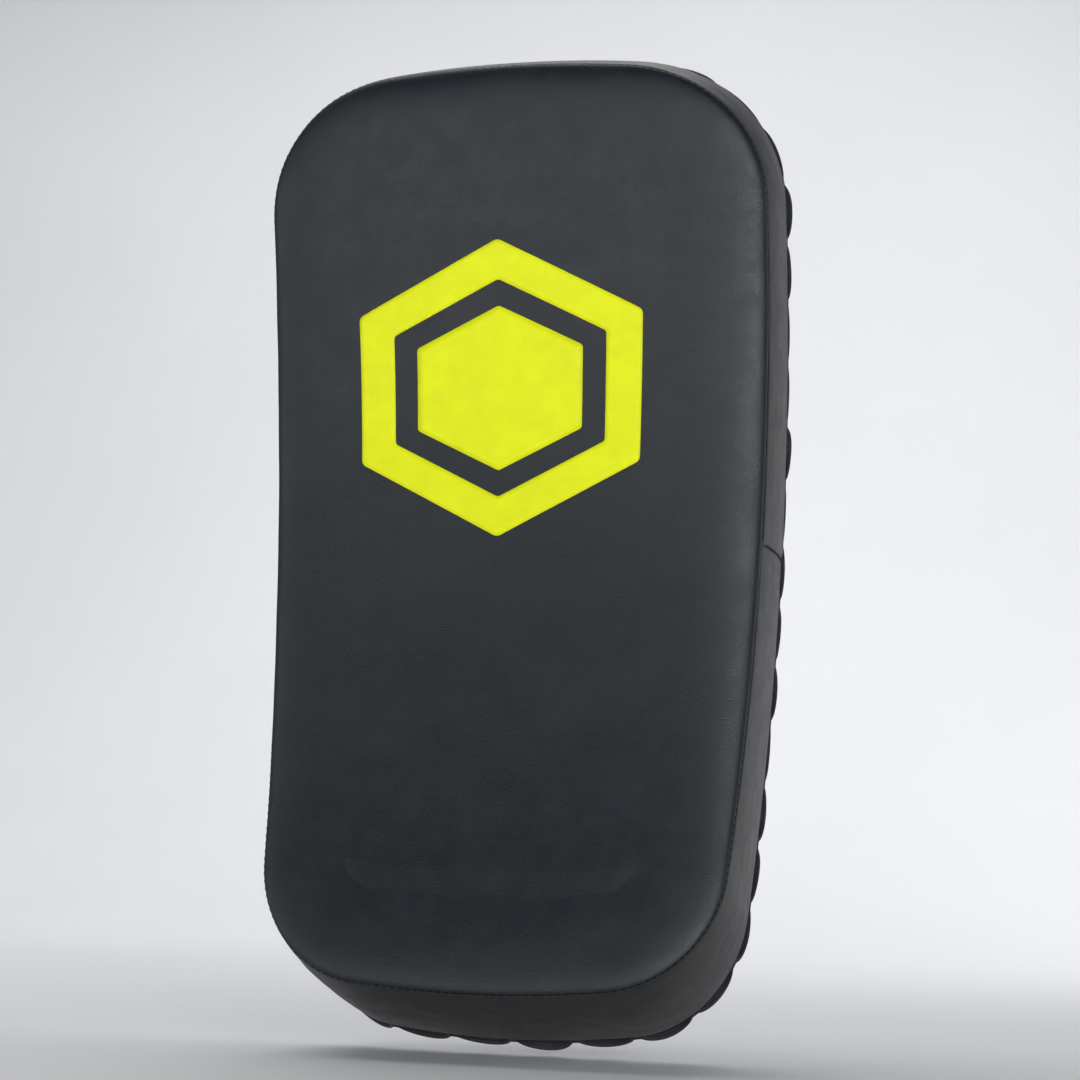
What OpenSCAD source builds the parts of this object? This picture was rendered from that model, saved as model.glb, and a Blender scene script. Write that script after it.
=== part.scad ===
// Curved kick pad: a leather cover over three layers of foam, with grip webbing round its rear
// rim, and two forearm straps and a hand grip on its back.
// X runs across the pad, +Y from the strike face to the back, and +Z up. The pad stands on its
// lower end, over the origin. It is designed flat, in three coordinates: u across, v up along the
// front seam, and d back from the front seam. bent() then wraps it round an axis parallel to X.

/* [Pad] */
// Length of the strike face, along its curve
pad_length = 600; // [580:5:620]
// Width of the strike face at mid length
pad_width = 325; // [310:5:335]
// Depth from the front seam to the back panel
pad_depth = 98; // [90:1:104]
// Radius of the lengthwise curve, at the front seam
bend_radius = 806; // [780:2:900]
// Share by which the top is wider, and the bottom narrower, than mid length
taper = 0.07; // [0:0.01:0.08]
// Radius of the upper corners
top_corner = 94; // [88:2:98]
// Radius of the lower corners
bottom_corner = 86; // [84:2:96]
// Outward bow of each long side
side_bow = 9; // [6:1:12]
// Outward bow of each end
end_bow = 18; // [12:1:20]

/* [Cover] */
// Thickness of the cover leather
skin = 2; // [1.6:0.2:2.4]
// Height of the strike face above its seam
face_crown = 11.6; // [9:0.2:13]
// Width of the rounded shoulder of the strike face
shoulder = 60; // [50:2:70]
// Outward swell of the side band
band_swell = 3; // [1:0.5:4]
// How far the rear edge lies inside the front seam
rear_inset = 3.2; // [1:0.2:5]
// Height of each side-band join at the front seam, from mid length
join_front = -9; // [-20:1:20]
// Height of each side-band join at the rear edge, from mid length
join_rear = 1; // [-20:1:20]
// Diameter of the seam thread
thread = 0.9; // [0.6:0.1:1.2]

/* [Foam] */
// Depth of the face between the soft strike foam and the dense core foam
strike_foam_back = 22; // [18:1:30]
// Depth of the face between the core foam and the backing foam
core_foam_back = 72; // [60:1:80]

/* [Printed target] */
// Width of the target
target_width = 184; // [150:2:188]
// Height of the target
target_height = 196; // [160:2:210]
// Height of the target's centre above mid length
target_rise = 92; // [60:2:100]
// Sideways place of the target's centre
target_shift = -8; // [-10:1:10]
// Width of the target's outer ring
ring_width = 23; // [16:1:28]

/* [Rim webbing] */
// Width of the grip webbing
web_width = 25; // [20:1:30]
// Thickness of all webbing
web = 1.8; // [1.4:0.2:2.4]
// Finger room under each loop of the rim webbing
loop_room = 13; // [10:0.5:16]
// Outward lean of each loop's outer edge
loop_flare = 3; // [0:0.5:5]
// Number of loops round the rim
loops = 44; // [40:2:48]

/* [Forearm straps] */
// Width of each forearm strap
strap_width = 50; // [44:1:56]
// Half the distance between a strap's two sewn ends
strap_half = 78; // [72:1:84]
// Height of each strap above the back panel
strap_rise = 62; // [56:1:68]
// Height of the upper strap above mid length
upper_strap_v = 40; // [30:2:50]
// Height of the lower strap above mid length
lower_strap_v = -120; // [-140:2:-110]

/* [Hand grip] */
// Height of the hand grip above mid length
grip_v = 165; // [155:1:175]
// Distance from the back panel to the middle of the grip
grip_reach = 50; // [46:1:56]
// Diameter of the grip sleeve
sleeve_d = 30; // [28:1:34]
// Length of the grip sleeve
sleeve_length = 92; // [84:2:96]

/* [Hidden] */

cover_black = [0.13, 0.135, 0.14];
back_black = [0.1, 0.1, 0.105];
web_black = [0.07, 0.07, 0.075];
foam_white = [0.86, 0.85, 0.8];
foam_blue = [0.3, 0.42, 0.55];
print_lime = [0.86, 0.92, 0.12];

// Gap between sewn pieces that only touch
gap = 0.3;
// Gap between the foam and the cover round it
foam_gap = 0.5;
// Segments of a quarter of the outline: along the side, round the corner, along the end
side_steps = 8;
corner_steps = 9;
end_steps = 4;
quarter = side_steps + corner_steps + end_steps;
half_count = 2 * quarter;
count = 2 * half_count;

a = pad_width / 2;
b = pad_length / 2;
// Radii of the arcs that the long sides and the ends follow
side_r = (b * b + side_bow * side_bow) / (2 * side_bow);
end_r = (a * a + end_bow * end_bow) / (2 * end_bow);
side_centre = [a - side_r, 0];
end_centre = [0, b - end_r];

// Outer face of the back panel, and the webbing's seat on it
back_d = pad_depth + skin;
seat_d = back_d + gap;
// Outward place of the rim webbing's inner and outer edges, from the front seam's outline
rim_outer = -rear_inset;
rim_inner = rim_outer - web_width;
// Width of one bar tack along the rim
tack_width = 3;

// The radius that a strap follows, and the depth of its centre under the back panel
strap_r = (strap_half * strap_half + strap_rise * strap_rise) / (2 * strap_rise);
strap_drop = strap_r - strap_rise;
// Thickness of strap webbing, of each hook or loop patch, and of the comfort pad
strap_web = 2.5;
patch = 1.2;
comfort = 8;
// Radii of a strap's layers, from the comfort pad outwards
strap_in = strap_r - strap_web / 2;
loop_in = strap_in + strap_web + 0.1;
hook_in = loop_in + patch + gap;
flap_in = hook_in + patch + 0.1;
flap_mid = flap_in + strap_web / 2;
// Thickness of a leather anchor patch
anchor = 1.8;
// Diameter of the rolled fold that a flap turns on, and its height above the back panel
fold_d = strap_web + 0.8;
fold_rise = gap + strap_web + gap + anchor + fold_d / 2 + 0.5;
fold_angle = asin((strap_drop + fold_rise) / flap_mid);

// The hand grip turns about this height above the back panel
grip_pivot = 14;
grip_half = 62;
grip_bend = 14;

// Place of the outer face of a loop at its highest, used to stand the pad on the floor
lowest_d = seat_d + loop_room + web;
floor_drop = (bend_radius + lowest_d) * sin(turn(b + rim_outer + loop_flare));
front_reach = bend_radius - (bend_radius - 0.6 * face_crown) * cos(turn(b - 4));
back_reach = back_d + flap_in + strap_web - strap_drop;
middle_y = (back_reach - front_reach) / 2;

// ---- Shape functions ----

// Angle of the bend at height v, in degrees
function turn(v) = v / bend_radius * 180 / PI;

// Place in the part's frame of a point of the flat design
function bent(u, v, d) = [
    u * (1 + taper * v / b),
    (bend_radius + d) * cos(turn(v)) - bend_radius - middle_y,
    (bend_radius + d) * sin(turn(v)) + floor_drop];

// Centre of the corner arc of radius r, which touches the side arc and the end arc
function corner_centre(r) =
    let (
        r0 = side_r - r,
        r1 = end_r - r,
        along = end_centre - side_centre,
        far = norm(along),
        x = (r0 * r0 - r1 * r1 + far * far) / (2 * far),
        h = sqrt(r0 * r0 - x * x),
        dir = along / far)
    side_centre + x * dir + h * [-dir[1], dir[0]];

function on_arc(centre, r, t) = centre + r * [cos(t), sin(t)];
function mix(from, to, share) = from + (to - from) * share;

// Point j of a quarter of the outline, from height start on the side to the middle of the end,
// moved outwards by e. The lower quarters are mirrored.
function quarter_point(j, e, upper, start) =
    let (
        r = upper ? top_corner : bottom_corner,
        c = corner_centre(r),
        from = asin(start / (side_r + e)),
        side_end = atan2(c[1], c[0] - side_centre[0]),
        corner_end = atan2(c[1] - end_centre[1], c[0]),
        p = j <= side_steps
            ? on_arc(side_centre, side_r + e, mix(from, side_end, j / side_steps))
            : j <= side_steps + corner_steps
            ? on_arc(c, r + e, mix(side_end, corner_end, (j - side_steps) / corner_steps))
            : on_arc(end_centre, end_r + e,
                mix(corner_end, 90, (j - side_steps - corner_steps) / end_steps)))
    upper ? p : [p[0], -p[1]];

// Point k of the right half of the outline, from the bottom's middle to the top's
function right_point(k, e) =
    k >= quarter ? quarter_point(k - quarter, e, true, 0)
    : quarter_point(quarter - k, e, false, 0);

// Point i of the whole outline: up the right side and down the left
function outline_point(i, e) =
    let (k = i % count, p = right_point(k <= half_count ? k : count - k, e))
    k <= half_count ? p : [-p[0], p[1]];

// Outward place of the side band's outer face at depth d
function band_out(d) =
    let (s = max(0, min(1, d / pad_depth)))
    band_swell * sin(180 * sqrt(s)) - rear_inset * s;

// Point [outward place, depth] of the strike face's rounded shoulder, from the seam at t = 0 to
// the flat middle at t = 90, inset from the outer face by off
function face_point(off, t) = [
    -off - (shoulder - off) * (1 - pow(cos(t), 0.9)),
    -(face_crown - off) * pow(sin(t), 0.9)];

function face_rings(off) = [for (t = [0 : 15 : 90]) face_point(off, t)];

function reversed(list) = [for (i = [len(list) - 1 : -1 : 0]) list[i]];

// Rings down the side of a foam layer between two depths
function foam_sides(from, to) = [for (s = [0, 0.5, 1])
    [band_out(mix(from, to, s)) - skin - foam_gap, mix(from, to, s)]];

// ---- Shape modules ----

// A closed solid through rings [outward place, depth], from its front face to its rear face
module slab(rings) {
    n = len(rings);
    points = [for (r = rings) for (i = [0 : count - 1])
        let (p = outline_point(i, r[0])) bent(p[0], p[1], r[1])];
    left = function (k) k == 0 ? 0 : count - k;
    front = [for (k = [0 : half_count - 1])
        k == 0 ? [left(1), 1, 0]
        : k == half_count - 1 ? [left(k), k + 1, k]
        : [left(k), left(k + 1), k + 1, k]];
    back = [for (f = front) [for (x = reversed(f)) x + (n - 1) * count]];
    sides = [for (r = [0 : n - 2]) for (i = [0 : count - 1])
        let (p = r * count + i, q = r * count + (i + 1) % count)
        each [[p, q, p + count], [q, q + count, p + count]]];
    polyhedron(points, concat(front, sides, back));
}

// A closed solid through equal loops of points, end to end, or round in a ring
module sweep(stations, ring = false) {
    m = len(stations[0]);
    n = len(stations);
    points = [for (s = stations) each s];
    last = ring ? n - 1 : n - 2;
    sides = [for (s = [0 : last]) for (i = [0 : m - 1])
        let (p = s * m + i, q = s * m + (i + 1) % m,
            p2 = ((s + 1) % n) * m + i, q2 = ((s + 1) % n) * m + (i + 1) % m)
        each [[p, p2, q], [q, p2, q2]]];
    // The two ends are strips across the loop, from its first half to its second
    strip = [for (i = [0 : m / 2 - 2])
        each [[i, i + 1, m - 1 - i], [i + 1, m - 2 - i, m - 1 - i]]];
    ends = ring ? [] : concat(strip,
        [for (f = strip) [for (x = reversed(f)) x + (n - 1) * m]]);
    polyhedron(points, concat(sides, ends));
}

// Half of the side band, from one join over an end to the other join
module side_band(upper) {
    depths = [for (s = [0, 0.1, 0.25, 0.5, 0.75, 0.93, 1])
        mix(gap, pad_depth - gap, s)];
    profile = concat([for (d = depths) [band_out(d), d]],
        [for (d = reversed(depths)) [band_out(d) - skin, d]]);
    sign = upper ? 1 : -1;
    start = function (d) sign * mix(join_front, join_rear, d / pad_depth) + gap / 2;
    stations = [for (s = [0 : half_count])
        let (j = s <= quarter ? s : half_count - s, mirror_u = s <= quarter ? 1 : -1)
        [for (q = profile)
            let (p = quarter_point(j, q[0], upper, start(q[1])))
            bent(mirror_u * p[0], p[1], q[1])]];
    sweep(upper ? stations : reversed(stations));
}

// A thread round the whole outline
module seam_thread(out, depth) {
    r = thread / 2;
    sweep([for (i = [0 : count - 1])
        [for (o = [[r, 0], [0, r], [-r, 0], [0, -r]])
            let (p = outline_point(i, out + o[0])) bent(p[0], p[1], depth + o[1])]],
        ring = true);
}

// ---- Rim webbing ----

// Running length of the rim up to each outline point, along the webbing's outer edge
rim_points = [for (i = [0 : count])
    let (p = outline_point(i, rim_outer)) bent(p[0], p[1], seat_d)];
rim_run = [for (i = 0, s = 0; i <= count;
    s = s + (i < count ? norm(rim_points[i + 1] - rim_points[i]) : 0), i = i + 1) s];
rim_length = rim_run[count];
pitch = rim_length / loops;

// The outline segment that holds running length s
function rim_segment(s, i = 0) = i >= count - 1 || rim_run[i + 1] > s ? i : rim_segment(s, i + 1);

// Place at running length s, moved outwards by e, at depth d
function rim_place(s, e, d) =
    let (
        w = (s % rim_length + rim_length) % rim_length,
        i = rim_segment(w),
        share = (w - rim_run[i]) / (rim_run[i + 1] - rim_run[i]),
        p = mix(outline_point(i, e), outline_point(i + 1, e), share))
    bent(p[0], p[1], d);

// One loop of webbing, an arch from one bar tack to the next
module rim_loop(n) {
    from = n * pitch + tack_width / 2;
    reach = pitch - tack_width;
    arch_steps = 8;
    sweep([for (j = [0 : arch_steps])
        let (
            t = 180 * j / arch_steps,
            outside = from + reach * (1 - cos(t)) / 2,
            inside = from + web + (reach - 2 * web) * (1 - cos(t)) / 2,
            flare = loop_flare * sin(t),
            low = seat_d + loop_room * sin(t),
            high = seat_d + (loop_room + web) * sin(t))
        [rim_place(inside, rim_inner, low), rim_place(inside, rim_outer + flare, low),
            rim_place(outside, rim_outer + flare, high), rim_place(outside, rim_inner, high)]]);
}

module rim_run_of(first, last) {
    color(web_black)
    for (n = [first : last]) {
        rim_loop(n);
    }
}

// One bar tack, a flat block across the webbing between two loops
module rim_tack(n) {
    inner = rim_place(n * pitch, rim_inner + 1, seat_d);
    outer = rim_place(n * pitch, rim_outer - 1, seat_d);
    out = (outer - inner) / norm(outer - inner);
    back = [0, inner[1] + middle_y + bend_radius, inner[2] - floor_drop];
    up_raw = back - (back * out) * out;
    up = up_raw / norm(up_raw);
    side = cross(up, out);
    multmatrix([
        [side[0], up[0], out[0], inner[0]],
        [side[1], up[1], out[1], inner[1]],
        [side[2], up[2], out[2], inner[2]],
        [0, 0, 0, 1]])
    translate([-tack_width / 2 + 0.4, 0, 0])
    cube([tack_width - 0.8, web + 0.4, norm(outer - inner)]);
}

// ---- Back fittings ----

// Puts its children on the back panel at height v: X across, Y away from the pad, Z up along it
module on_back(v) {
    translate(bent(0, v, back_d))
    rotate([turn(v), 0, 0])
    children();
}

// A curved layer of a strap between two angles, round the strap's centre
module strap_layer(inner_r, thick, from, to, wide) {
    translate([0, -strap_drop, 0])
    rotate([0, 0, from])
    rotate_extrude(angle = to - from, $fn = 96)
    translate([inner_r, -wide / 2])
    square([thick, wide]);
}

module sewn_block(x, y, wide, thick, high) {
    translate([x, y, -high / 2])
    cube([wide, thick, high]);
}

module strap_inner(v) {
    foot_y = gap + strap_web / 2;
    base = 180 - asin((strap_drop + foot_y) / strap_r);
    foot_end = strap_r * cos(base) + 2;
    on_back(v)
    color(web_black) {
        strap_layer(strap_in, strap_web, 46, base, strap_width);
        sewn_block(foot_end - 32, gap, 32, strap_web, strap_width);
    }
}

module strap_pad(v) {
    on_back(v)
    color(back_black)
    strap_layer(strap_in - comfort - 0.2, comfort, 52, 152, strap_width + 8);
}

module loop_patch(v) {
    on_back(v)
    color(web_black)
    strap_layer(loop_in, patch, 50, 118, strap_width - 4);
}

module hook_patch(v) {
    on_back(v)
    color(web_black)
    strap_layer(hook_in, patch, 54, 108, strap_width - 4);
}

module strap_flap(v) {
    on_back(v)
    color(web_black) {
        strap_layer(flap_in, strap_web, fold_angle, 114, strap_width);
        translate([flap_mid * cos(fold_angle), fold_rise, 0])
        cylinder(d = fold_d, h = strap_width + 1, center = true, $fn = 32);
    }
}

module flap_tab(v) {
    on_back(v)
    color(web_black)
    sewn_block(strap_half + 6, gap, 28, strap_web, strap_width);
}

module anchor_pair(v) {
    seat = gap + strap_web + gap;
    on_back(v)
    color(back_black) {
        sewn_block(strap_half + 8, seat, 32, anchor, strap_width + 10);
        sewn_block(-strap_half - 40, seat, 32, anchor, strap_width + 10);
    }
}

// The grip webbing's centre line, up one leg, across and down the other
function grip_path() =
    let (
        turn_x = grip_half - grip_bend,
        turn_y = grip_reach - grip_bend,
        right = concat([[grip_half, grip_pivot]],
            [for (t = [0 : 15 : 90]) [turn_x, turn_y] + grip_bend * [cos(t), sin(t)]]))
    concat(right, [for (p = reversed(right)) [-p[0], p[1]]]);

// Outward direction at point i of a path, from its neighbours
function path_normal(path, i) =
    let (
        p = path[max(i - 1, 0)],
        q = path[min(i + 1, len(path) - 1)],
        along = (q - p) / norm(q - p))
    [along[1], -along[0]];

// ---- Sub-parts ----

module strike_face_panel() {
    color(cover_black)
    slab(concat(reversed(face_rings(0)), face_rings(skin)));
}

module upper_side_band() {
    color(cover_black) side_band(true);
}

module lower_side_band() {
    color(cover_black) side_band(false);
}

module back_panel() {
    edge = -rear_inset;
    color(back_black)
    slab([[edge, pad_depth], [edge, back_d - 0.6], [edge - 0.8, back_d]]);
}

module front_seam_thread() {
    seam = face_point(-thread / 2 - 0.15, 12);
    color(web_black) seam_thread(seam[0], seam[1]);
}

module rear_seam_thread() {
    color(web_black) seam_thread(band_out(pad_depth - 5) + thread / 2 + 0.1, pad_depth - 5);
}

module strike_foam() {
    color(foam_white)
    slab(concat(reversed(face_rings(skin + foam_gap)),
        foam_sides(strike_foam_back / 3, strike_foam_back)));
}

module core_foam() {
    color(foam_blue)
    slab(foam_sides(strike_foam_back + gap, core_foam_back));
}

module backing_foam() {
    color(foam_white)
    slab(foam_sides(core_foam_back + gap, pad_depth - gap));
}

// Corner i of an upright six-sided outline, w wide and h high
function six(i, w, h) =
    [[0, -h / 2], [w / 2, -h / 4], [w / 2, h / 4], [0, h / 2], [-w / 2, h / 4], [-w / 2, -h / 4]]
    [i % 6];

// Points along each edge of that outline
edge_steps = 6;
function six_points(w, h) = [for (i = [0 : 5]) for (s = [0 : edge_steps - 1])
    mix(six(i, w, h), six(i + 1, w, h), s / edge_steps)];

// Half the width of that outline at height y, no less than a blunt tip's
function six_half(y, w, h) = max(0.4, w / 2 * min(1, 2 - 4 * abs(y) / h));

module target_print() {
    film = 0.4;
    face = -face_crown - 0.1;
    inner_w = target_width - 2 * ring_width;
    inner_h = target_height - 2.3 * ring_width;
    core_w = inner_w - 1.3 * ring_width;
    core_h = inner_h - 1.5 * ring_width;
    place = function (p, d) bent(target_shift + p[0], target_rise + p[1], d);
    outer = six_points(target_width, target_height);
    inner = six_points(inner_w, inner_h);
    rungs = 2 * edge_steps;
    color(print_lime) {
        sweep([for (i = [0 : len(outer) - 1])
            [place(inner[i], face), place(inner[i], face - film),
                place(outer[i], face - film), place(outer[i], face)]], ring = true);
        // The core is a strip of rungs across it, from its lower tip to its upper tip
        sweep([for (i = [0 : rungs])
            let (y = mix(-core_h / 2, core_h / 2, i / rungs), x = six_half(y, core_w, core_h))
            [place([-x, y], face), place([-x, y], face - film),
                place([x, y], face - film), place([x, y], face)]]);
    }
}

// The loops are shared out between the right side, the top, the left side and the bottom
end_loops = 6;
side_loops = loops / 2 - end_loops;

module rim_webbing_right() {
    rim_run_of(end_loops / 2, end_loops / 2 + side_loops - 1);
}

module rim_webbing_top() {
    rim_run_of(end_loops / 2 + side_loops, end_loops * 3 / 2 + side_loops - 1);
}

module rim_webbing_left() {
    rim_run_of(end_loops * 3 / 2 + side_loops, end_loops * 3 / 2 + 2 * side_loops - 1);
}

module rim_webbing_bottom() {
    rim_run_of(-end_loops / 2, end_loops / 2 - 1);
}

module rim_tacks() {
    color(back_black)
    for (n = [0 : loops - 1]) {
        rim_tack(n);
    }
}

module upper_strap_inner() {
    strap_inner(upper_strap_v);
}

module upper_strap_pad() {
    strap_pad(upper_strap_v);
}

module upper_loop_patch() {
    loop_patch(upper_strap_v);
}

module upper_strap_flap() {
    strap_flap(upper_strap_v);
}

module upper_hook_patch() {
    hook_patch(upper_strap_v);
}

module upper_flap_tab() {
    flap_tab(upper_strap_v);
}

module lower_strap_inner() {
    strap_inner(lower_strap_v);
}

module lower_strap_pad() {
    strap_pad(lower_strap_v);
}

module lower_loop_patch() {
    loop_patch(lower_strap_v);
}

module lower_strap_flap() {
    strap_flap(lower_strap_v);
}

module lower_hook_patch() {
    hook_patch(lower_strap_v);
}

module lower_flap_tab() {
    flap_tab(lower_strap_v);
}

module strap_anchor_patches() {
    anchor_pair(upper_strap_v);
    anchor_pair(lower_strap_v);
}

module grip_webbing() {
    path = grip_path();
    t = strap_web / 2;
    n = len(path);
    on_back(grip_v)
    color(web_black) {
        linear_extrude(height = web_width, center = true)
        polygon(concat([for (i = [0 : n - 1]) path[i] + t * path_normal(path, i)],
            [for (i = [n - 1 : -1 : 0]) path[i] - t * path_normal(path, i)]));
        for (side = [-1, 1]) {
            translate([side * grip_half - t, grip_pivot, 0])
            rotate([0, 90, 0])
            cylinder(d = web_width, h = strap_web, $fn = 48);
        }
    }
}

module grip_sleeve() {
    on_back(grip_v)
    color(back_black)
    difference() {
        translate([-sleeve_length / 2, grip_reach, 0])
        rotate([0, 90, 0])
        cylinder(d = sleeve_d, h = sleeve_length, $fn = 64);
        translate([-sleeve_length / 2 - 1, grip_reach - strap_web / 2 - gap, -web_width / 2 - gap])
        cube([sleeve_length + 2, strap_web + 2 * gap, web_width + 2 * gap]);
    }
}

// Fixed end of the grip webbing: a round-topped ear beside each leg, with a foot on the back
module grip_tabs() {
    ear_x = grip_half + strap_web / 2 + 0.4;
    on_back(grip_v)
    color(web_black)
    for (side = [0, 1]) {
        mirror([side, 0, 0]) {
            translate([ear_x, grip_pivot, 0])
            rotate([0, 90, 0])
            cylinder(d = web_width, h = strap_web, $fn = 48);
            sewn_block(ear_x, gap, strap_web, grip_pivot - gap, web_width);
            sewn_block(ear_x, gap, 28, strap_web, web_width);
        }
    }
}

module grip_anchor_patches() {
    on_back(grip_v)
    color(back_black)
    for (side = [0, 1]) {
        mirror([side, 0, 0])
        sewn_block(grip_half + 5, gap + strap_web + gap, 30, anchor, web_width + 12);
    }
}

strike_face_panel();
upper_side_band();
lower_side_band();
back_panel();
front_seam_thread();
rear_seam_thread();
strike_foam();
core_foam();
backing_foam();
target_print();
rim_webbing_right();
rim_webbing_left();
rim_webbing_top();
rim_webbing_bottom();
rim_tacks();
upper_strap_inner();
upper_strap_pad();
upper_loop_patch();
upper_strap_flap();
upper_hook_patch();
upper_flap_tab();
lower_strap_inner();
lower_strap_pad();
lower_loop_patch();
lower_strap_flap();
lower_hook_patch();
lower_flap_tab();
strap_anchor_patches();
grip_webbing();
grip_sleeve();
grip_tabs();
grip_anchor_patches();
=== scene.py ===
"""Looks of the curved kick pad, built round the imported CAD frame. All lengths are in metres.

The pad is laid out flat, as the CAD source does it: u across, v up along the front seam, and d back
from the front seam. bent() wraps that layout round the pad's lengthwise curve. A station k runs
round the pad's outline, from 0 at the middle of the bottom, up the right side, to COUNT.
"""

import math
import random

import bmesh
import bpy
import numpy as np
from mathutils import Matrix, Vector, noise
from mathutils.bvhtree import BVHTree


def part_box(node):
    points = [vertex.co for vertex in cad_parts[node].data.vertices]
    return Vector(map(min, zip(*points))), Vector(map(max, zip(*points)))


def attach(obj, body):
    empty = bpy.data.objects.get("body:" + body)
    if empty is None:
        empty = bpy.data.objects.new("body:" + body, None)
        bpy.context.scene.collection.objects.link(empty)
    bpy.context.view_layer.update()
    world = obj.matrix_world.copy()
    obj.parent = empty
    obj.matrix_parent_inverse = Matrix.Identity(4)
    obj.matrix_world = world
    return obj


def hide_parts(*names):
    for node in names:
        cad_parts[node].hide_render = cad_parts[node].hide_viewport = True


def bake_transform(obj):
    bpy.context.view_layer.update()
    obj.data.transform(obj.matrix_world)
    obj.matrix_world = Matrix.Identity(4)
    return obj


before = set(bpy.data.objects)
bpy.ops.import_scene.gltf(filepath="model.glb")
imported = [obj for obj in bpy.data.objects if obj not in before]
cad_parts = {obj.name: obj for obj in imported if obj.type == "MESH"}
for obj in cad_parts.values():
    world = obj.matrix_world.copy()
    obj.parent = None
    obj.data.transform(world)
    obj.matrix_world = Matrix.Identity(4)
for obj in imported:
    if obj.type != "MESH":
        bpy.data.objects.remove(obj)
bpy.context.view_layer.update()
MM = 0.001

# ---- The pad's dimensions ----
# They are those of the CAD source, but SWELL, BOTTOM_CORNER and JOIN_REAR follow the photograph

BEND = 806 * MM
TAPER = 0.07
HALF_WIDTH = 325 * MM / 2
HALF_LENGTH = 600 * MM / 2
DEPTH = 98 * MM
TOP_CORNER = 94 * MM
BOTTOM_CORNER = 80 * MM
SIDE_BOW = 9 * MM
END_BOW = 18 * MM
SKIN = 2 * MM
LEATHER = 1.5 * MM
CROWN = 11.6 * MM
SHOULDER = 60 * MM
SWELL = 2.2 * MM
REAR_INSET = 3.2 * MM
JOIN_FRONT = -9 * MM
JOIN_REAR = -5 * MM
GAP = 0.3 * MM
FOAM_GAP = 0.5 * MM
BACK = DEPTH + SKIN
SEAT = BACK + GAP

TARGET_SIZE = np.array([184, 196]) * MM
TARGET_PLACE = np.array([-8, 92]) * MM
TARGET_RING = 23 * MM

WEB_WIDTH = 25 * MM
WEB = 1.8 * MM
RIM_RIB = 2.1 * MM
LOOP_ROOM = 13 * MM
LOOP_FLARE = 3 * MM
LOOPS = 44
END_LOOPS = 6
SIDE_LOOPS = LOOPS // 2 - END_LOOPS
TACK = 3 * MM
RIM_OUTER = -REAR_INSET
RIM_INNER = RIM_OUTER - WEB_WIDTH

STRAP_WIDTH = 50 * MM
STRAP_HALF = 78 * MM
STRAP_RISE = 62 * MM
STRAP_V = {"upper": 40 * MM, "lower": -120 * MM}
STRAP_WEB = 2.5 * MM
STRAP_RIB = 2.5 * MM
PATCH = 1.2 * MM
COMFORT = 8 * MM
ANCHOR = 1.8 * MM
STRAP_R = (STRAP_HALF ** 2 + STRAP_RISE ** 2) / (2 * STRAP_RISE)
STRAP_DROP = STRAP_R - STRAP_RISE
STRAP_IN = STRAP_R - STRAP_WEB / 2
LOOP_IN = STRAP_IN + STRAP_WEB + 0.1 * MM
HOOK_IN = LOOP_IN + PATCH + GAP
FLAP_IN = HOOK_IN + PATCH + 0.1 * MM
FLAP_MID = FLAP_IN + STRAP_WEB / 2
FOLD_D = STRAP_WEB + 0.8 * MM
FOLD_RISE = GAP + STRAP_WEB + GAP + ANCHOR + FOLD_D / 2 + 0.5 * MM
FOLD_ANGLE = math.asin((STRAP_DROP + FOLD_RISE) / FLAP_MID)
ANCHOR_SEAT = GAP + STRAP_WEB + GAP
EDGE_ROOM = 0.4 * MM
SEWN_EDGE = 3.5 * MM

GRIP_V = 165 * MM
GRIP_REACH = 50 * MM
GRIP_HALF = 62 * MM
GRIP_BEND = 14 * MM
SLEEVE_D = 30 * MM
SLEEVE_LENGTH = 92 * MM

# Where the layout's origin stands in the frame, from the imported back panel
back_low, back_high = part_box("back_panel")
ORIGIN_Y = back_high.y - BACK
ORIGIN_Z = (back_low.z + back_high.z) / 2

# Stations of a quarter of the outline: along the side, round the corner, along the end
SIDE_STEPS, CORNER_STEPS, END_STEPS = 8, 9, 4
QUARTER = SIDE_STEPS + CORNER_STEPS + END_STEPS
COUNT = 4 * QUARTER
SIDE_R = (HALF_LENGTH ** 2 + SIDE_BOW ** 2) / (2 * SIDE_BOW)
END_R = (HALF_WIDTH ** 2 + END_BOW ** 2) / (2 * END_BOW)
SIDE_CENTRE = np.array([HALF_WIDTH - SIDE_R, 0.0])
END_CENTRE = np.array([0.0, HALF_LENGTH - END_R])


# ---- Shape functions ----

def bent(u, v, d):
    """Places in the frame of points of the flat layout."""
    u, v, d = np.broadcast_arrays(u, v, d)
    angle = v / BEND
    return np.stack([
        u * (1 + TAPER * v / HALF_LENGTH),
        (BEND + d) * np.cos(angle) - BEND + ORIGIN_Y,
        (BEND + d) * np.sin(angle) + ORIGIN_Z], -1)


def corner_centre(radius):
    """Centre of the corner arc that touches the side's arc and the end's."""
    r0, r1 = SIDE_R - radius, END_R - radius
    along = END_CENTRE - SIDE_CENTRE
    far = np.linalg.norm(along)
    x = (r0 * r0 - r1 * r1 + far * far) / (2 * far)
    h = math.sqrt(r0 * r0 - x * x)
    direction = along / far
    return SIDE_CENTRE + x * direction + h * np.array([-direction[1], direction[0]])


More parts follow.
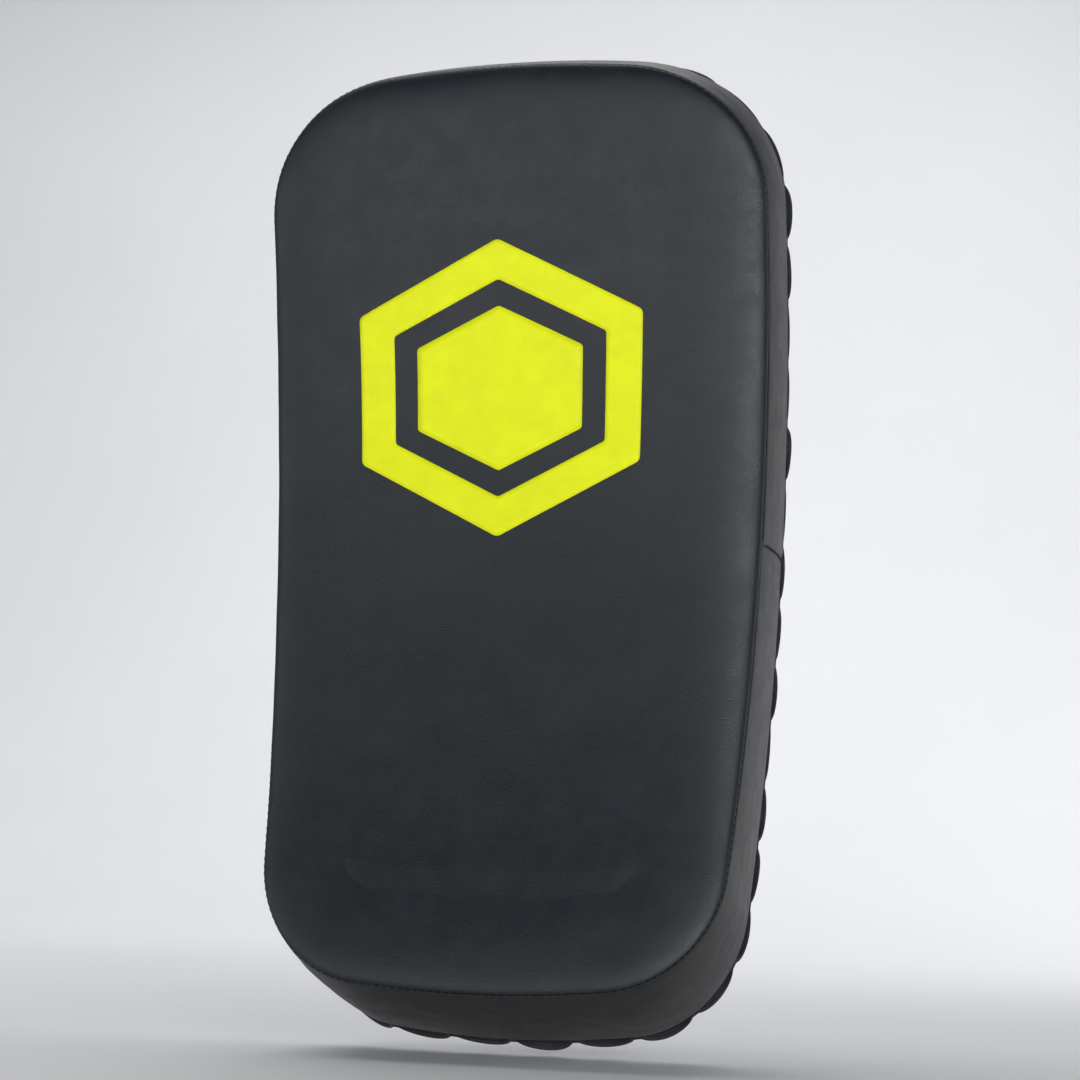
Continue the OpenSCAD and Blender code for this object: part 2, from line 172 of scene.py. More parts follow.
def quarter_point(j, e, upper, start=0.0):
    """Points [u, v] of a quarter of the outline, from height start to the end's middle."""
    radius = TOP_CORNER if upper else BOTTOM_CORNER
    centre = corner_centre(radius)
    side_end = math.atan2(centre[1], centre[0] - SIDE_CENTRE[0])
    corner_end = math.atan2(centre[1] - END_CENTRE[1], centre[0])
    j, e, start = np.broadcast_arrays(np.asarray(j, float), e, start)
    first = np.arcsin(start / (SIDE_R + e))
    side = first + (side_end - first) * j / SIDE_STEPS
    corner = side_end + (corner_end - side_end) * (j - SIDE_STEPS) / CORNER_STEPS
    end = corner_end + (math.pi / 2 - corner_end) * (j - SIDE_STEPS - CORNER_STEPS) / END_STEPS
    arcs = [
        (SIDE_CENTRE, SIDE_R + e, side),
        (centre, radius + e, corner),
        (END_CENTRE, END_R + e, end)]
    points = [np.stack([c[0] + r * np.cos(t), c[1] + r * np.sin(t)], -1) for c, r, t in arcs]
    on_side = (j <= SIDE_STEPS)[..., None]
    on_corner = (j <= SIDE_STEPS + CORNER_STEPS)[..., None]
    point = np.where(on_side, points[0], np.where(on_corner, points[1], points[2]))
    return point if upper else point * [1, -1]


def outline(k, e=0.0):
    """Points [u, v] of the whole outline at stations k, moved outwards by e."""
    k, e = np.broadcast_arrays(np.asarray(k, float) % COUNT, e)
    right = np.where(k > COUNT / 2, COUNT - k, k)
    upper = quarter_point(np.abs(right - QUARTER), e, True)
    lower = quarter_point(np.abs(right - QUARTER), e, False)
    point = np.where((right >= QUARTER)[..., None], upper, lower)
    return point * np.stack([np.where(k > COUNT / 2, -1, 1), np.ones_like(k)], -1)


def on_rim(k, e, d):
    """Places in the frame at stations k, e outwards of the front seam, d deep."""
    point = outline(k, e)
    return bent(point[..., 0], point[..., 1], d)


def station_at(e, d, steps):
    """A function from running length to station, and the rim's whole length, along one line."""
    k = np.linspace(0, COUNT, steps + 1)
    line = on_rim(k, e, d)
    run = np.concatenate([[0], np.cumsum(np.linalg.norm(np.diff(line, axis=0), axis=1))])
    total = run[-1]
    return (lambda s: np.interp(np.asarray(s) % total, run, k)), total


def band_out(d):
    """Outward place of the side band's outer face at depth d."""
    s = np.clip(d / DEPTH, 0, 1)
    return SWELL * np.sin(math.pi * s ** 0.75) - REAR_INSET * s


def face_point(off, t):
    """[outward place, depth] of the face's shoulder, from the seam at t = 0 to 90 degrees."""
    t = np.radians(np.asarray(t, float))
    return np.stack([
        -off - (SHOULDER - off) * (1 - np.abs(np.cos(t)) ** 0.9),
        -(CROWN - off) * np.sin(t) ** 0.9], -1)


def smooth_step(x):
    x = np.clip(x, 0, 1)
    return x * x * (3 - 2 * x)


def noise_at(points, scale, seed=0.0):
    """Smooth noise from -1 to 1 at each point."""
    flat = (np.asarray(points).reshape(-1, 3) * scale + seed).tolist()
    values = [noise.noise(Vector(p)) for p in flat]
    return np.array(values).reshape(np.shape(points)[:-1])


# ---- Mesh helpers ----

def grid_faces(rows, cols, wrap_rows=False, wrap_cols=False):
    """Quads of a grid of points, and the grid place of each corner before wrapping."""
    r, c = np.meshgrid(
        np.arange(rows if wrap_rows else rows - 1),
        np.arange(cols if wrap_cols else cols - 1), indexing="ij")
    corner_r = np.stack([r, r, r + 1, r + 1], -1).reshape(-1, 4)
    corner_c = np.stack([c, c + 1, c + 1, c], -1).reshape(-1, 4)
    faces = (corner_r % rows) * cols + corner_c % cols
    return faces, corner_r, corner_c


def new_piece(name, points, faces, corner_uv=None):
    """An object from points and faces. Its UVs are in metres, and are given corner by corner."""
    mesh = bpy.data.meshes.new(name)
    mesh.from_pydata(np.asarray(points).reshape(-1, 3).tolist(), [], [list(f) for f in faces])
    if corner_uv is not None:
        layer = mesh.uv_layers.new(name="cloth")
        layer.data.foreach_set("uv", np.asarray(corner_uv, np.float32).ravel())
    mesh.polygons.foreach_set("use_smooth", [True] * len(mesh.polygons))
    mesh.update()
    ob = bpy.data.objects.new(name, mesh)
    bpy.context.scene.collection.objects.link(ob)
    return ob


def face_outwards(ob):
    """Turns a closed mesh's faces outwards."""
    made = bmesh.new()
    made.from_mesh(ob.data)
    bmesh.ops.recalc_face_normals(made, faces=made.faces)
    made.to_mesh(ob.data)
    made.free()
    ob.data.update()
    return ob


def swept(name, stations, uv_across, uv_along, ring=False):
    """A closed solid through equal loops of points, with UVs across and along it."""
    rows, cols = stations.shape[:2]
    faces, corner_r, corner_c = grid_faces(rows, cols, ring, True)
    faces = faces.tolist()
    across = np.append(uv_across, uv_across[0])
    along = np.append(uv_along, 2 * uv_along[-1] - uv_along[-2])
    uv = np.stack([across[corner_c], along[corner_r]], -1).reshape(-1, 2)
    if not ring:
        faces += [list(range(cols))[::-1], list(range((rows - 1) * cols, rows * cols))]
        ends = [np.stack([uv_across, np.full(cols, uv_along[i])], -1) for i in (0, -1)]
        uv = np.concatenate([uv, ends[0][::-1], ends[1]])
    return face_outwards(new_piece(name, stations, faces, uv))


def tubes(name, centres, ups, radii, sides=6):
    """Many short round tubes in one piece: centres and ups are [tube, station, xyz]."""
    along = np.gradient(centres, axis=1)
    along /= np.linalg.norm(along, axis=-1, keepdims=True)
    side = np.cross(along, ups)
    side /= np.linalg.norm(side, axis=-1, keepdims=True)
    up = np.cross(side, along)
    t = np.arange(sides) * 2 * math.pi / sides
    ring = side[:, :, None] * np.cos(t)[:, None] + up[:, :, None] * np.sin(t)[:, None]
    points = centres[:, :, None] + ring * np.asarray(radii)[None, :, None, None]
    count, stations = centres.shape[:2]
    faces = grid_faces(stations, sides, False, True)[0]
    ends = [list(range(sides))[::-1], list(range((stations - 1) * sides, stations * sides))]
    one = faces.tolist() + ends
    step = stations * sides
    every = [[x + n * step for x in f] for n in range(count) for f in one]
    return face_outwards(new_piece(name, points, every))


def read_triples(items, key):
    flat = np.empty(len(items) * 3, np.float32)
    items.foreach_get(key, flat)
    return flat.reshape(-1, 3).astype(float)


def coords(mesh):
    return read_triples(mesh.vertices, "co")


def set_coords(mesh, points):
    mesh.vertices.foreach_set("co", np.asarray(points, np.float32).ravel())
    mesh.update()


def evaluated(ob):
    graph = bpy.context.evaluated_depsgraph_get()
    return ob.evaluated_get(graph), graph


def apply_modifier(ob, kind, **settings):
    """Adds a modifier and applies it at once."""
    modifier = ob.modifiers.new(kind.lower(), kind)
    for key, value in settings.items():
        setattr(modifier, key, value)
    made, graph = evaluated(ob)
    mesh = bpy.data.meshes.new_from_object(made, depsgraph=graph)
    ob.modifiers.remove(modifier)
    old = ob.data
    ob.data = mesh
    mesh.name = ob.name
    bpy.data.meshes.remove(old)
    return ob


def give_thickness(ob, thickness):
    """Turns an open sheet into a closed layer, on the side its faces turn away from."""
    return apply_modifier(ob, "SOLIDIFY", thickness=thickness, offset=-1.0)


def relaxed(ob, shift, rounds):
    """The vertices' shifts, averaged with their neighbours' over and over."""
    own, shared = 0.3, 0.7
    edges = np.array([e.vertices[:] for e in ob.data.edges])
    ends, others = edges.ravel(), edges[:, ::-1].ravel()
    degree = np.maximum(np.bincount(ends, minlength=len(shift)), 1)[:, None]
    for _ in range(rounds):
        total = [np.bincount(ends, shift[others, axis], len(shift)) for axis in range(3)]
        shift = own * shift + shared * np.stack(total, -1) / degree
    return shift


def inflate(ob, pins, pressure, cap, tension=40.0, smoothing=0, frames=20):
    """Swells ob with Blender's cloth, held at pins, and caps how far each point moves."""
    scene = bpy.context.scene
    start = coords(ob.data)
    group = ob.vertex_groups.new(name="pins")
    group.add([int(i) for i in pins], 1.0, "REPLACE")
    cloth = ob.modifiers.new("cloth", "CLOTH")
    settings = cloth.settings
    settings.quality = 5
    settings.mass = 0.3
    settings.tension_stiffness = tension
    settings.compression_stiffness = tension
    settings.bending_stiffness = 2.0
    settings.use_pressure = True
    settings.uniform_pressure_force = pressure
    settings.effector_weights.gravity = 0.0
    if len(pins):
        settings.vertex_group_mass = "pins"
    cloth.collision_settings.use_collision = False
    cloth.point_cache.frame_start = 1
    cloth.point_cache.frame_end = frames
    for number in range(1, frames + 1):
        scene.frame_set(number)
    moved = coords(evaluated(ob)[0].data)
    ob.modifiers.remove(cloth)
    ob.vertex_groups.remove(group)
    scene.frame_set(1)
    shift = relaxed(ob, moved - start, smoothing)
    shift[list(pins)] = 0
    length = np.maximum(np.linalg.norm(shift, axis=1, keepdims=True), 1e-9)
    set_coords(ob.data, start + shift / length * cap * np.tanh(length / cap))
    return ob


def finish_piece(ob, material, body, stands_for=()):
    """Gives a piece its material and its body, and hides the CAD nodes that it stands for."""
    ob.data.materials.clear()
    ob.data.materials.append(material)
    if body:
        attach(ob, body)
    if stands_for:
        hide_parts(*stands_for)


# ---- Materials ----

class Shade:
    """A material's node tree, with short calls that add nodes and join them."""

    def __init__(self, name, roughness, **sockets):
        self.material = bpy.data.materials.new(name)
        self.material.use_nodes = True
        self.tree = self.material.node_tree
        self.shader = self.tree.nodes["Principled BSDF"]
        self.shader.inputs["Roughness"].default_value = roughness
        for key, value in sockets.items():
            self.shader.inputs[key.replace("_", " ")].default_value = value

    def node(self, kind, links=None, **properties):
        made = self.tree.nodes.new("ShaderNode" + kind)
        for key, value in properties.items():
            setattr(made, key, value)
        for key, value in (links or {}).items():
            self.feed(made.inputs[key], value)
        return made

    def feed(self, socket, value):
        """Links a socket to another node's output, or sets its value."""
        if isinstance(value, bpy.types.NodeSocket):
            self.tree.links.new(value, socket)
        else:
            socket.default_value = value

    def place(self):
        """Places on the object, in metres."""
        return self.node("TexCoord").outputs["Object"]

    def cloth(self):
        """UVs in metres, split into across and along."""
        uv = self.node("UVMap", uv_map="cloth").outputs["UV"]
        parts = self.node("SeparateXYZ", {"Vector": uv})
        return uv, parts.outputs["X"], parts.outputs["Y"]

    def noise(self, vector, scale, detail=3.0, roughness=0.55):
        links = {"Vector": vector, "Scale": scale, "Detail": detail, "Roughness": roughness}
        return self.node("TexNoise", links).outputs["Fac"]

    def cells(self, vector, scale, feature="F1"):
        links = {"Vector": vector, "Scale": scale}
        return self.node("TexVoronoi", links, feature=feature).outputs["Distance"]

    def maths(self, operation, *values):
        made = self.node("Math", operation=operation)
        for socket, value in zip(made.inputs, values):
            self.feed(socket, value)
        return made.outputs[0]

    def rescale(self, value, low, high, to_low=0.0, to_high=1.0):
        """Maps low..high to to_low..to_high, smoothly and clamped."""
        links = {"Value": value, "From Min": low, "From Max": high,
                 "To Min": to_low, "To Max": to_high}
        return self.node("MapRange", links, interpolation_type="SMOOTHSTEP").outputs["Result"]

    def ramp(self, value, stops):
        made = self.node("ValToRGB", {"Fac": value})
        elements = made.color_ramp.elements
        while len(elements) < len(stops):
            elements.new(0.5)
        for element, (place, colour) in zip(elements, stops):
            element.position = place
            element.color = (*colour, 1)
        return made.outputs["Color"]

    def blend(self, share, first, second):
        made = self.node("Mix", {"Factor": share}, data_type="RGBA")
        colours = [s for s in made.inputs if s.type == "RGBA"]
        for socket, value in zip(colours, (first, second)):
            self.feed(socket, (*value, 1) if isinstance(value, tuple) else value)
        return [s for s in made.outputs if s.type == "RGBA"][0]

    def colour(self, socket):
        self.tree.links.new(socket, self.shader.inputs["Base Color"])
        return self

    def rough(self, socket):
        self.tree.links.new(socket, self.shader.inputs["Roughness"])
        return self

    def bump(self, *layers):
        """Bumps from (height, distance) pairs, each on top of the one before."""
        normal = None
        for height, distance in layers:
            made = self.node("Bump", {"Height": height, "Strength": 1.0, "Distance": distance})
            if normal is not None:
                self.tree.links.new(normal, made.inputs["Normal"])
            normal = made.outputs["Normal"]
        self.tree.links.new(normal, self.shader.inputs["Normal"])
        return self


def scaled(colour, factor):
    return tuple(factor * x for x in colour)


def leather(name, dark, light, roughness, grain=1.0, dust=0.35):
    """Matte coated leather: fine pebble grain, cloudy handling marks, a little dust, and painted
    shade in the grain's creases.
    """
    s = Shade(name, roughness, Specular_IOR_Level=0.34, Sheen_Weight=0.02, Sheen_Roughness=0.5)
    place = s.place()
    pebbles = s.cells(place, 1300.0)
    pores = s.noise(place, 2600.0, 2.0)
    clouds = s.noise(place, 7.0, 5.0, 0.62)
    rubs = s.noise(place, 55.0, 6.0, 0.7)
    specks = s.cells(place, 95.0)
    base = s.ramp(clouds, [(0.3, dark), (0.72, light)])
    rubbed = s.blend(s.rescale(rubs, 0.5, 0.8, 0.0, 0.35), base, scaled(light, 1.7))
    dusty = s.blend(s.rescale(specks, 0.035, 0.015, 0.0, dust), rubbed, (0.2, 0.2, 0.19))
    # Painted shade: the colour darkens in the creases between the grain's pebbles, where the bump
    # sinks
    dust_and_grain_shade = s.blend(s.rescale(pebbles, 0.25, 0.6, 0.0, 0.25), dusty, scaled(dark, 0.6))
    s.colour(dust_and_grain_shade)
    s.rough(s.rescale(rubs, 0.3, 0.75, roughness - 0.05, roughness + 0.07))
    return s.bump(
        (s.noise(place, 22.0, 3.0), 0.35 * MM),
        (pebbles, -0.1 * MM * grain),
        (pores, 0.05 * MM * grain)).material


def webbing(name, dark, light, rib, pick):
    """Woven webbing: lengthwise ribs crossed by picks that shift by half from rib to rib, with
    painted highlights on the weave's crowns and painted shade between them.
    """
    roughness = 0.72
    s = Shade(name, roughness, Specular_IOR_Level=0.4, Sheen_Weight=0.12, Sheen_Roughness=0.4)
    uv, across, along = s.cloth()
    ribs = s.maths("SINE", s.maths("MULTIPLY", across, 2 * math.pi / rib))
    half = s.maths("MULTIPLY", s.maths("FLOOR", s.maths("MULTIPLY", across, 2 / rib)), 0.5)
    turns = s.maths("ADD", s.maths("MULTIPLY", along, 1 / pick), half)
    picks = s.maths("SINE", s.maths("MULTIPLY", turns, 2 * math.pi))
    weave = s.maths("MULTIPLY_ADD", picks, 0.25, 0.5)
    both = s.maths("ADD", weave, s.maths("MULTIPLY", ribs, 0.22))
    fibres = s.noise(uv, 3500.0, 3.0)
    worn = s.noise(uv, 45.0, 4.0)
    # Painted highlight and shade: the yarn is lighter where the weave stands high and darker where
    # it sinks; the worn patches are real fading
    yarn = s.ramp(both, [(0.25, dark), (0.95, light)])
    weave_highlight_and_wear = s.blend(s.rescale(worn, 0.45, 0.8, 0.0, 0.4), yarn, scaled(light, 1.6))
    s.colour(weave_highlight_and_wear)
    s.rough(s.rescale(fibres, 0.3, 0.7, roughness - 0.08, roughness + 0.1))
    return s.bump((both, 0.22 * MM), (fibres, 0.05 * MM)).material


def sewing_thread():
    """Bonded nylon thread: two plies twisted together, with painted shade in the twist's grooves.
    """
    s = Shade("bonded_thread", 0.62, Specular_IOR_Level=0.08, Sheen_Weight=0.01)
    place = s.place()
    wave = s.node("TexWave", {"Vector": place, "Scale": 260.0, "Distortion": 2.5, "Detail": 1.0},
                  wave_type="BANDS", bands_direction="DIAGONAL").outputs["Fac"]
    fuzz = s.noise(place, 4000.0, 2.0)
    # Painted shade and highlight: the thread is darker in the twist's grooves and lighter on its
    # crowns
    s.colour(s.ramp(wave, [(0.1, (0.0012, 0.0014, 0.0018)), (0.9, (0.004, 0.0042, 0.005))]))
    return s.bump((wave, 0.12 * MM), (fuzz, 0.03 * MM)).material


def spacer_mesh():
    """Padded tricot under the straps: rows of small eyelets, with painted shade in them."""
    s = Shade("padding_mesh", 0.88, Sheen_Weight=0.3, Sheen_Roughness=0.5)
    place = s.place()
    eyes = s.cells(place, 420.0)
    fibres = s.noise(place, 2800.0, 4.0)
    clouds = s.noise(place, 30.0, 4.0)
    yarn = s.ramp(clouds, [(0.3, (0.016, 0.017, 0.019)), (0.75, (0.035, 0.036, 0.04))])
    # Painted shade: the eyelet holes are coloured near-black for the shade inside them
    s.colour(s.blend(s.rescale(eyes, 0.32, 0.16, 0.0, 0.9), yarn, (0.003, 0.003, 0.003)))
    return s.bump((s.rescale(eyes, 0.1, 0.4), 0.5 * MM), (fibres, 0.08 * MM)).material


def pile(name, scale, depth, dark, light):
    """The fuzz of a loop patch, or the rows of a hook patch, with painted highlights on the tufts
    and painted shade between them.
    """
    s = Shade(name, 0.9, Sheen_Weight=0.35, Sheen_Roughness=0.35)
    uv = s.cloth()[0]
    tufts = s.cells(uv, scale)
    fuzz = s.noise(uv, scale * 2.4, 5.0, 0.7)
    worn = s.noise(uv, 60.0, 3.0)
    # Painted highlight and shade: lighter on the tufts' tops and darker in the hollows between
    # them; the worn patches are real wear
    base = s.ramp(s.maths("MULTIPLY", tufts, fuzz), [(0.05, light), (0.45, dark)])
    s.colour(s.blend(s.rescale(worn, 0.5, 0.8, 0.0, 0.5), base, scaled(light, 1.5)))
    return s.bump((tufts, -depth), (fuzz, depth * 0.6)).material


def foam(name, dark, light, cell):
    """Cut foam: open cells of one size, with a cloudy tone and painted shade where the cells sink.
    """
    s = Shade(name, 0.95, Specular_IOR_Level=0.2)
    place = s.place()
    cells = s.cells(place, cell)
    large = s.cells(place, cell * 0.35)
    clouds = s.noise(place, 12.0, 3.0)
    base = s.ramp(clouds, [(0.3, dark), (0.7, light)])
    # Painted shade: the colour darkens where the cell bump sinks between the cells
    s.colour(s.blend(s.rescale(cells, 0.15, 0.55, 0.0, 0.45), base, scaled(dark, 0.5)))
    return s.bump((cells, -0.6 * MM), (large, -0.4 * MM)).material


def printed_film():
    """Lime screen print: a thin rubbery film with a faint mottle and soft scuffs."""
    s = Shade("lime_film", 0.5, Specular_IOR_Level=0.2)
    place = s.place()
    mottle = s.noise(place, 60.0, 5.0, 0.6)
    scuffs = s.noise(place, 14.0, 4.0, 0.7)
    peel = s.cells(place, 1300.0)
    base = s.ramp(mottle, [(0.3, (0.63, 0.68, 0.002)), (0.7, (0.69, 0.75, 0.005))])
    s.colour(s.blend(s.rescale(scuffs, 0.6, 0.85, 0.0, 0.25), base, (0.55, 0.66, 0.02)))
    s.rough(s.rescale(mottle, 0.3, 0.7, 0.46, 0.58))
    return s.bump((peel, -0.05 * MM), (mottle, 0.08 * MM)).material


def studio_floor():
    """Pale painted floor and wall in one sweep."""
    s = Shade("studio_sweep", 0.75, Specular_IOR_Level=0.25)
    place = s.place()
    clouds = s.noise(place, 1.3, 4.0)
    fine = s.noise(place, 90.0, 3.0)
    s.colour(s.ramp(clouds, [(0.3, (0.755, 0.76, 0.775)), (0.7, (0.785, 0.79, 0.80))]))
    return s.bump((fine, 0.05 * MM)).material


FACE_LEATHER = leather("face_leather", (0.0035, 0.007, 0.01), (0.0065, 0.01, 0.0135), 0.42)
BAND_LEATHER = leather("band_leather", (0.013, 0.013, 0.0135), (0.019, 0.0185, 0.0185), 0.52)
BACK_LEATHER = leather("back_leather", (0.013, 0.0135, 0.0145), (0.02, 0.0205, 0.0215), 0.6, 1.3)
GRIP_LEATHER = leather("grip_leather", (0.014, 0.014, 0.015), (0.022, 0.022, 0.023), 0.5, 1.4)
RIM_WEBBING = webbing("rim_weave", (0.0035, 0.004, 0.005), (0.03, 0.032, 0.038),
                      RIM_RIB, 1.5 * MM)
STRAP_WEBBING = webbing("strap_weave", (0.004, 0.004, 0.005), (0.022, 0.022, 0.025),
                        STRAP_RIB, 1.7 * MM)
THREAD = sewing_thread()
PADDING = spacer_mesh()
LOOP_PILE = pile("loop_pile", 900.0, 0.35 * MM, (0.006, 0.006, 0.007), (0.03, 0.03, 0.033))
HOOK_PILE = pile("hook_rows", 620.0, 0.5 * MM, (0.004, 0.004, 0.004), (0.018, 0.018, 0.02))
SOFT_FOAM = foam("soft_foam", (0.62, 0.6, 0.52), (0.74, 0.72, 0.64), 700.0)
DENSE_FOAM = foam("dense_foam", (0.06, 0.12, 0.22), (0.1, 0.18, 0.3), 1100.0)
LIME = printed_film()


# ---- Camera, lights and stage ----

def make_camera():
    """The photograph's viewing angle: low, from the pad's right, looking up a little."""
    place = Vector((0.3977, -1.4768, 0.1191))
    forward = Vector((-0.2540, 0.9566, 0.1427))
    up = Vector((0.0057, -0.1460, 0.9893))
    right = forward.cross(up).normalized()
    up = right.cross(forward)
    data = bpy.data.cameras.new("camera")
    data.sensor_width, data.lens = 36.0, 77.0
    data.clip_start, data.clip_end = 0.05, 50.0
    camera = bpy.data.objects.new("camera", data)
    nudge = 0.0018
    aim = Matrix.Rotation(nudge, 4, "Y") @ Matrix.Rotation(-nudge, 4, "X")
    turned = Matrix((right, up, -forward)).transposed().to_4x4() @ aim
    camera.matrix_world = Matrix.Translation(place) @ turned
    bpy.context.scene.collection.objects.link(camera)
    bpy.context.scene.camera = camera


def area_light(name, place, aim, size, power, colour, spread=180):
    """A soft rectangular light that looks at aim. The camera doesn't see it in other views."""
    data = bpy.data.lights.new(name, "AREA")
    data.shape = "RECTANGLE"
    data.size, data.size_y = size
    data.energy = power
    data.color = colour
    data.spread = math.radians(spread)
    light = bpy.data.objects.new(name, data)
    light.location = place
    light.visible_camera = False
    direction = Vector(aim) - Vector(place)
    light.rotation_mode = "QUATERNION"
    light.rotation_quaternion = direction.to_track_quat("-Z", "Y")
    bpy.context.scene.collection.objects.link(light)


def make_stage():
    """A seamless sweep: a floor that curves up into a wall well behind the pad."""
    wall_y, radius, front_y, top_z, half = 3.4, 1.6, -9.0, 7.0, 9.0
    bend = np.radians(np.linspace(0, 90, 25))
    curve_y = wall_y - radius + radius * np.sin(bend)
    curve_z = radius - radius * np.cos(bend)
    y = np.concatenate([[front_y, -1.0, 0.6], curve_y, [wall_y]])
    z = np.concatenate([[0, 0, 0], curve_z, [top_z]])
    x = np.linspace(-half, half, 9)
    grid = np.stack(np.broadcast_arrays(x[None, :], y[:, None], z[:, None]), -1)
    floor = new_piece("studio_sweep", grid, grid_faces(*grid.shape[:2])[0])
    floor.data.materials.append(studio_floor())


def make_lights():
    """Big soft lights, as in a product studio: name, place, aim, size, power, colour, spread."""
    middle = (0, 0, 0.33)
    lights = [
        ("top_light", (-0.8, 0.6, 3.0), (-0.9, 0.7, 0), (3.8, 2.0), 53, (1, 0.98, 0.975)),
        ("wall_light", (-2.2, 2.2, 2.6), (-2.2, 2.6, 0), (4.6, 1.0), 20, (0.99, 0.985, 1)),
        ("sweep_light", (-0.7, 2.3, 2.6), (-0.7, 2.8, 0), (4.0, 0.8), 7, (1, 0.99, 0.98), 110),
        ("back_light", (1.6, 1.5, 0.6), (-0.2, 2.9, 0.25), (0.8, 0.8), 11, (1, 0.98, 0.985), 140),
        ("left_key", (-2.4, -1.2, 0.5), middle, (1.2, 0.9), 10, (0.97, 0.97, 1)),
        ("right_key", (1.3, -2.1, 0.4), middle, (1.0, 0.8), 35, (0.98, 0.98, 1)),
        ("rim_card", (2.6, 0.9, 0.7), middle, (0.8, 1.2), 6, (0.97, 0.98, 1), 120),
        ("low_card", (-0.6, -2.4, 0.15), (0, 0, 0.6), (2.4, 0.5), 22, (0.98, 0.97, 1)),
        ("floor_light", (-0.4, -2.4, 1.6), (-0.4, -2.4, 0), (2.0, 1.2), 14, (1, 0.99, 0.97), 70)]
    for light in lights:
        area_light(*light)
    world = bpy.data.worlds.new("studio_air")
    world.use_nodes = True
    background = world.node_tree.nodes["Background"]
    background.inputs["Color"].default_value = (0.6, 0.78, 0.88, 1)
    background.inputs["Strength"].default_value = 0.1
    bpy.context.scene.world = world
    bpy.context.scene.view_settings.view_transform = "Standard"


# ---- Cover ----

FACE_FINENESS = 4
# The stations where the corners of the middle patch lie, halfway round each rounded corner
PATCH_FIRST = QUARTER - SIDE_STEPS - CORNER_STEPS / 2
PATCH_SIDE = int(2 * (SIDE_STEPS + CORNER_STEPS / 2))
PATCH_END = int(2 * (END_STEPS + CORNER_STEPS / 2))


def ringed_sheet(name, rings, middle_depth, share=lambda v: 1.0):
    """An open sheet through rings [outward place, depth], with a patch of quads in its middle.

    A crowned sheet keeps only a share of its crown at height v.
    Returns the object and the number of points in a ring."""
    around = COUNT * FACE_FINENESS
    k = np.arange(around) / FACE_FINENESS + PATCH_FIRST
    flat = [outline(k, e) for e, d in rings]
    depths = [d * share(p[:, 1]) if d < 0 else d for p, (e, d) in zip(flat, rings)]
    points = [bent(p[:, 0], p[:, 1], d) for p, d in zip(flat, depths)]
    tall, wide = PATCH_SIDE * FACE_FINENESS, PATCH_END * FACE_FINENESS
    left_start = tall + wide + tall
    a, b = np.meshgrid(np.arange(tall + 1), np.arange(wide + 1), indexing="ij")
    right = flat[-1][np.arange(tall + 1) % around]
    left = flat[-1][(left_start - np.arange(tall + 1)) % around]
    bottom = flat[-1][(left_start + np.arange(wide + 1)) % around]
    top = flat[-1][(tall + wide - np.arange(wide + 1)) % around]
    s, t = (b / wide)[..., None], (a / tall)[..., None]
    patch = ((1 - s) * left[:, None] + s * right[:, None] + (1 - t) * bottom[None] + t * top[None]
             - (1 - s) * (1 - t) * left[0] - s * (1 - t) * right[0]
             - (1 - s) * t * left[-1] - s * t * right[-1])
    depth = middle_depth(patch[..., 0], patch[..., 1])
    inner = bent(patch[..., 0], patch[..., 1], depth)
    offset = (len(rings) - 1) * around
    index = np.full((tall + 1, wide + 1), -1)
    index[:, wide] = offset + np.arange(tall + 1) % around
    index[:, 0] = offset + (left_start - np.arange(tall + 1)) % around
    index[0, :] = offset + (left_start + np.arange(wide + 1)) % around
    index[tall, :] = offset + (tall + wide - np.arange(wide + 1)) % around
    free = index < 0
    index[free] = len(rings) * around + np.arange(free.sum())
    everything = np.concatenate([np.concatenate(points), inner[free]])
    faces = grid_faces(len(rings), around, False, True)[0]
    quads = np.stack([index[:-1, :-1], index[:-1, 1:], index[1:, 1:], index[1:, :-1]], -1)
    ob = new_piece(name, everything, np.concatenate([faces, quads.reshape(-1, 4)]))
    return ob, around


def turn_towards(ob, direction):
    """Makes a sheet's faces agree with each other, and look along direction on the whole."""
    face_outwards(ob)
    total = np.zeros(3)
    for polygon in ob.data.polygons:
        total += np.array(polygon.normal) * polygon.area
    if total @ np.array(direction) < 0:
        ob.data.flip_normals()
    return ob


def groove(distance, depth, width):
    """How far a surface sinks at a distance from a seam."""
    return depth * np.exp(-(distance / width) ** 2)


def crown_share(v):
    """The foam stands less proud of the seam towards the pad's lower end."""
    begin, length, loss = -60 * MM, 230 * MM, 0.3
    return 1 - loss * smooth_step((begin - v) / length)


def make_face():
    """The strike face: a crowned leather panel, sunk along its seam and blown out by its foam."""
    seam_depth, seam_width, seam_pull = 2.1 * MM, 0.75 * MM, [-0.75, 0.66]
    angles = [0, 0.8, 1.6, 2.6, 4, 6, 9, 13, 18, 24, 31, 38, 45, 52, 60, 68, 76, 84, 90]
    profile = face_point(0, angles)
    steps = np.linalg.norm(np.diff(profile, axis=0), axis=1)
    run = np.concatenate([[0], np.cumsum(steps)])
    profile = profile + np.outer(groove(run, seam_depth, seam_width), seam_pull)
    ob, around = ringed_sheet("strike_face_leather", profile,
                              lambda u, v: -CROWN * crown_share(v), crown_share)
    turn_towards(ob, (0, -1, 0))
    inflate(ob, range(3 * around), 0.6, 2.0 * MM, 80.0, smoothing=500)
    apply_modifier(ob, "SUBSURF", levels=1, render_levels=1)
    points = coords(ob.data)
    normals = read_triples(ob.data.vertex_normals, "vector")
    hills = 0.45 * MM * noise_at(points, 11.0) + 0.2 * MM * noise_at(points, 34.0, 7.0)
    set_coords(ob.data, points + normals * hills[:, None])
    finder = BVHTree.FromObject(ob, bpy.context.evaluated_depsgraph_get())
    give_thickness(ob, LEATHER)
    finish_piece(ob, FACE_LEATHER, "pad", ["strike_face_panel"])
    return finder


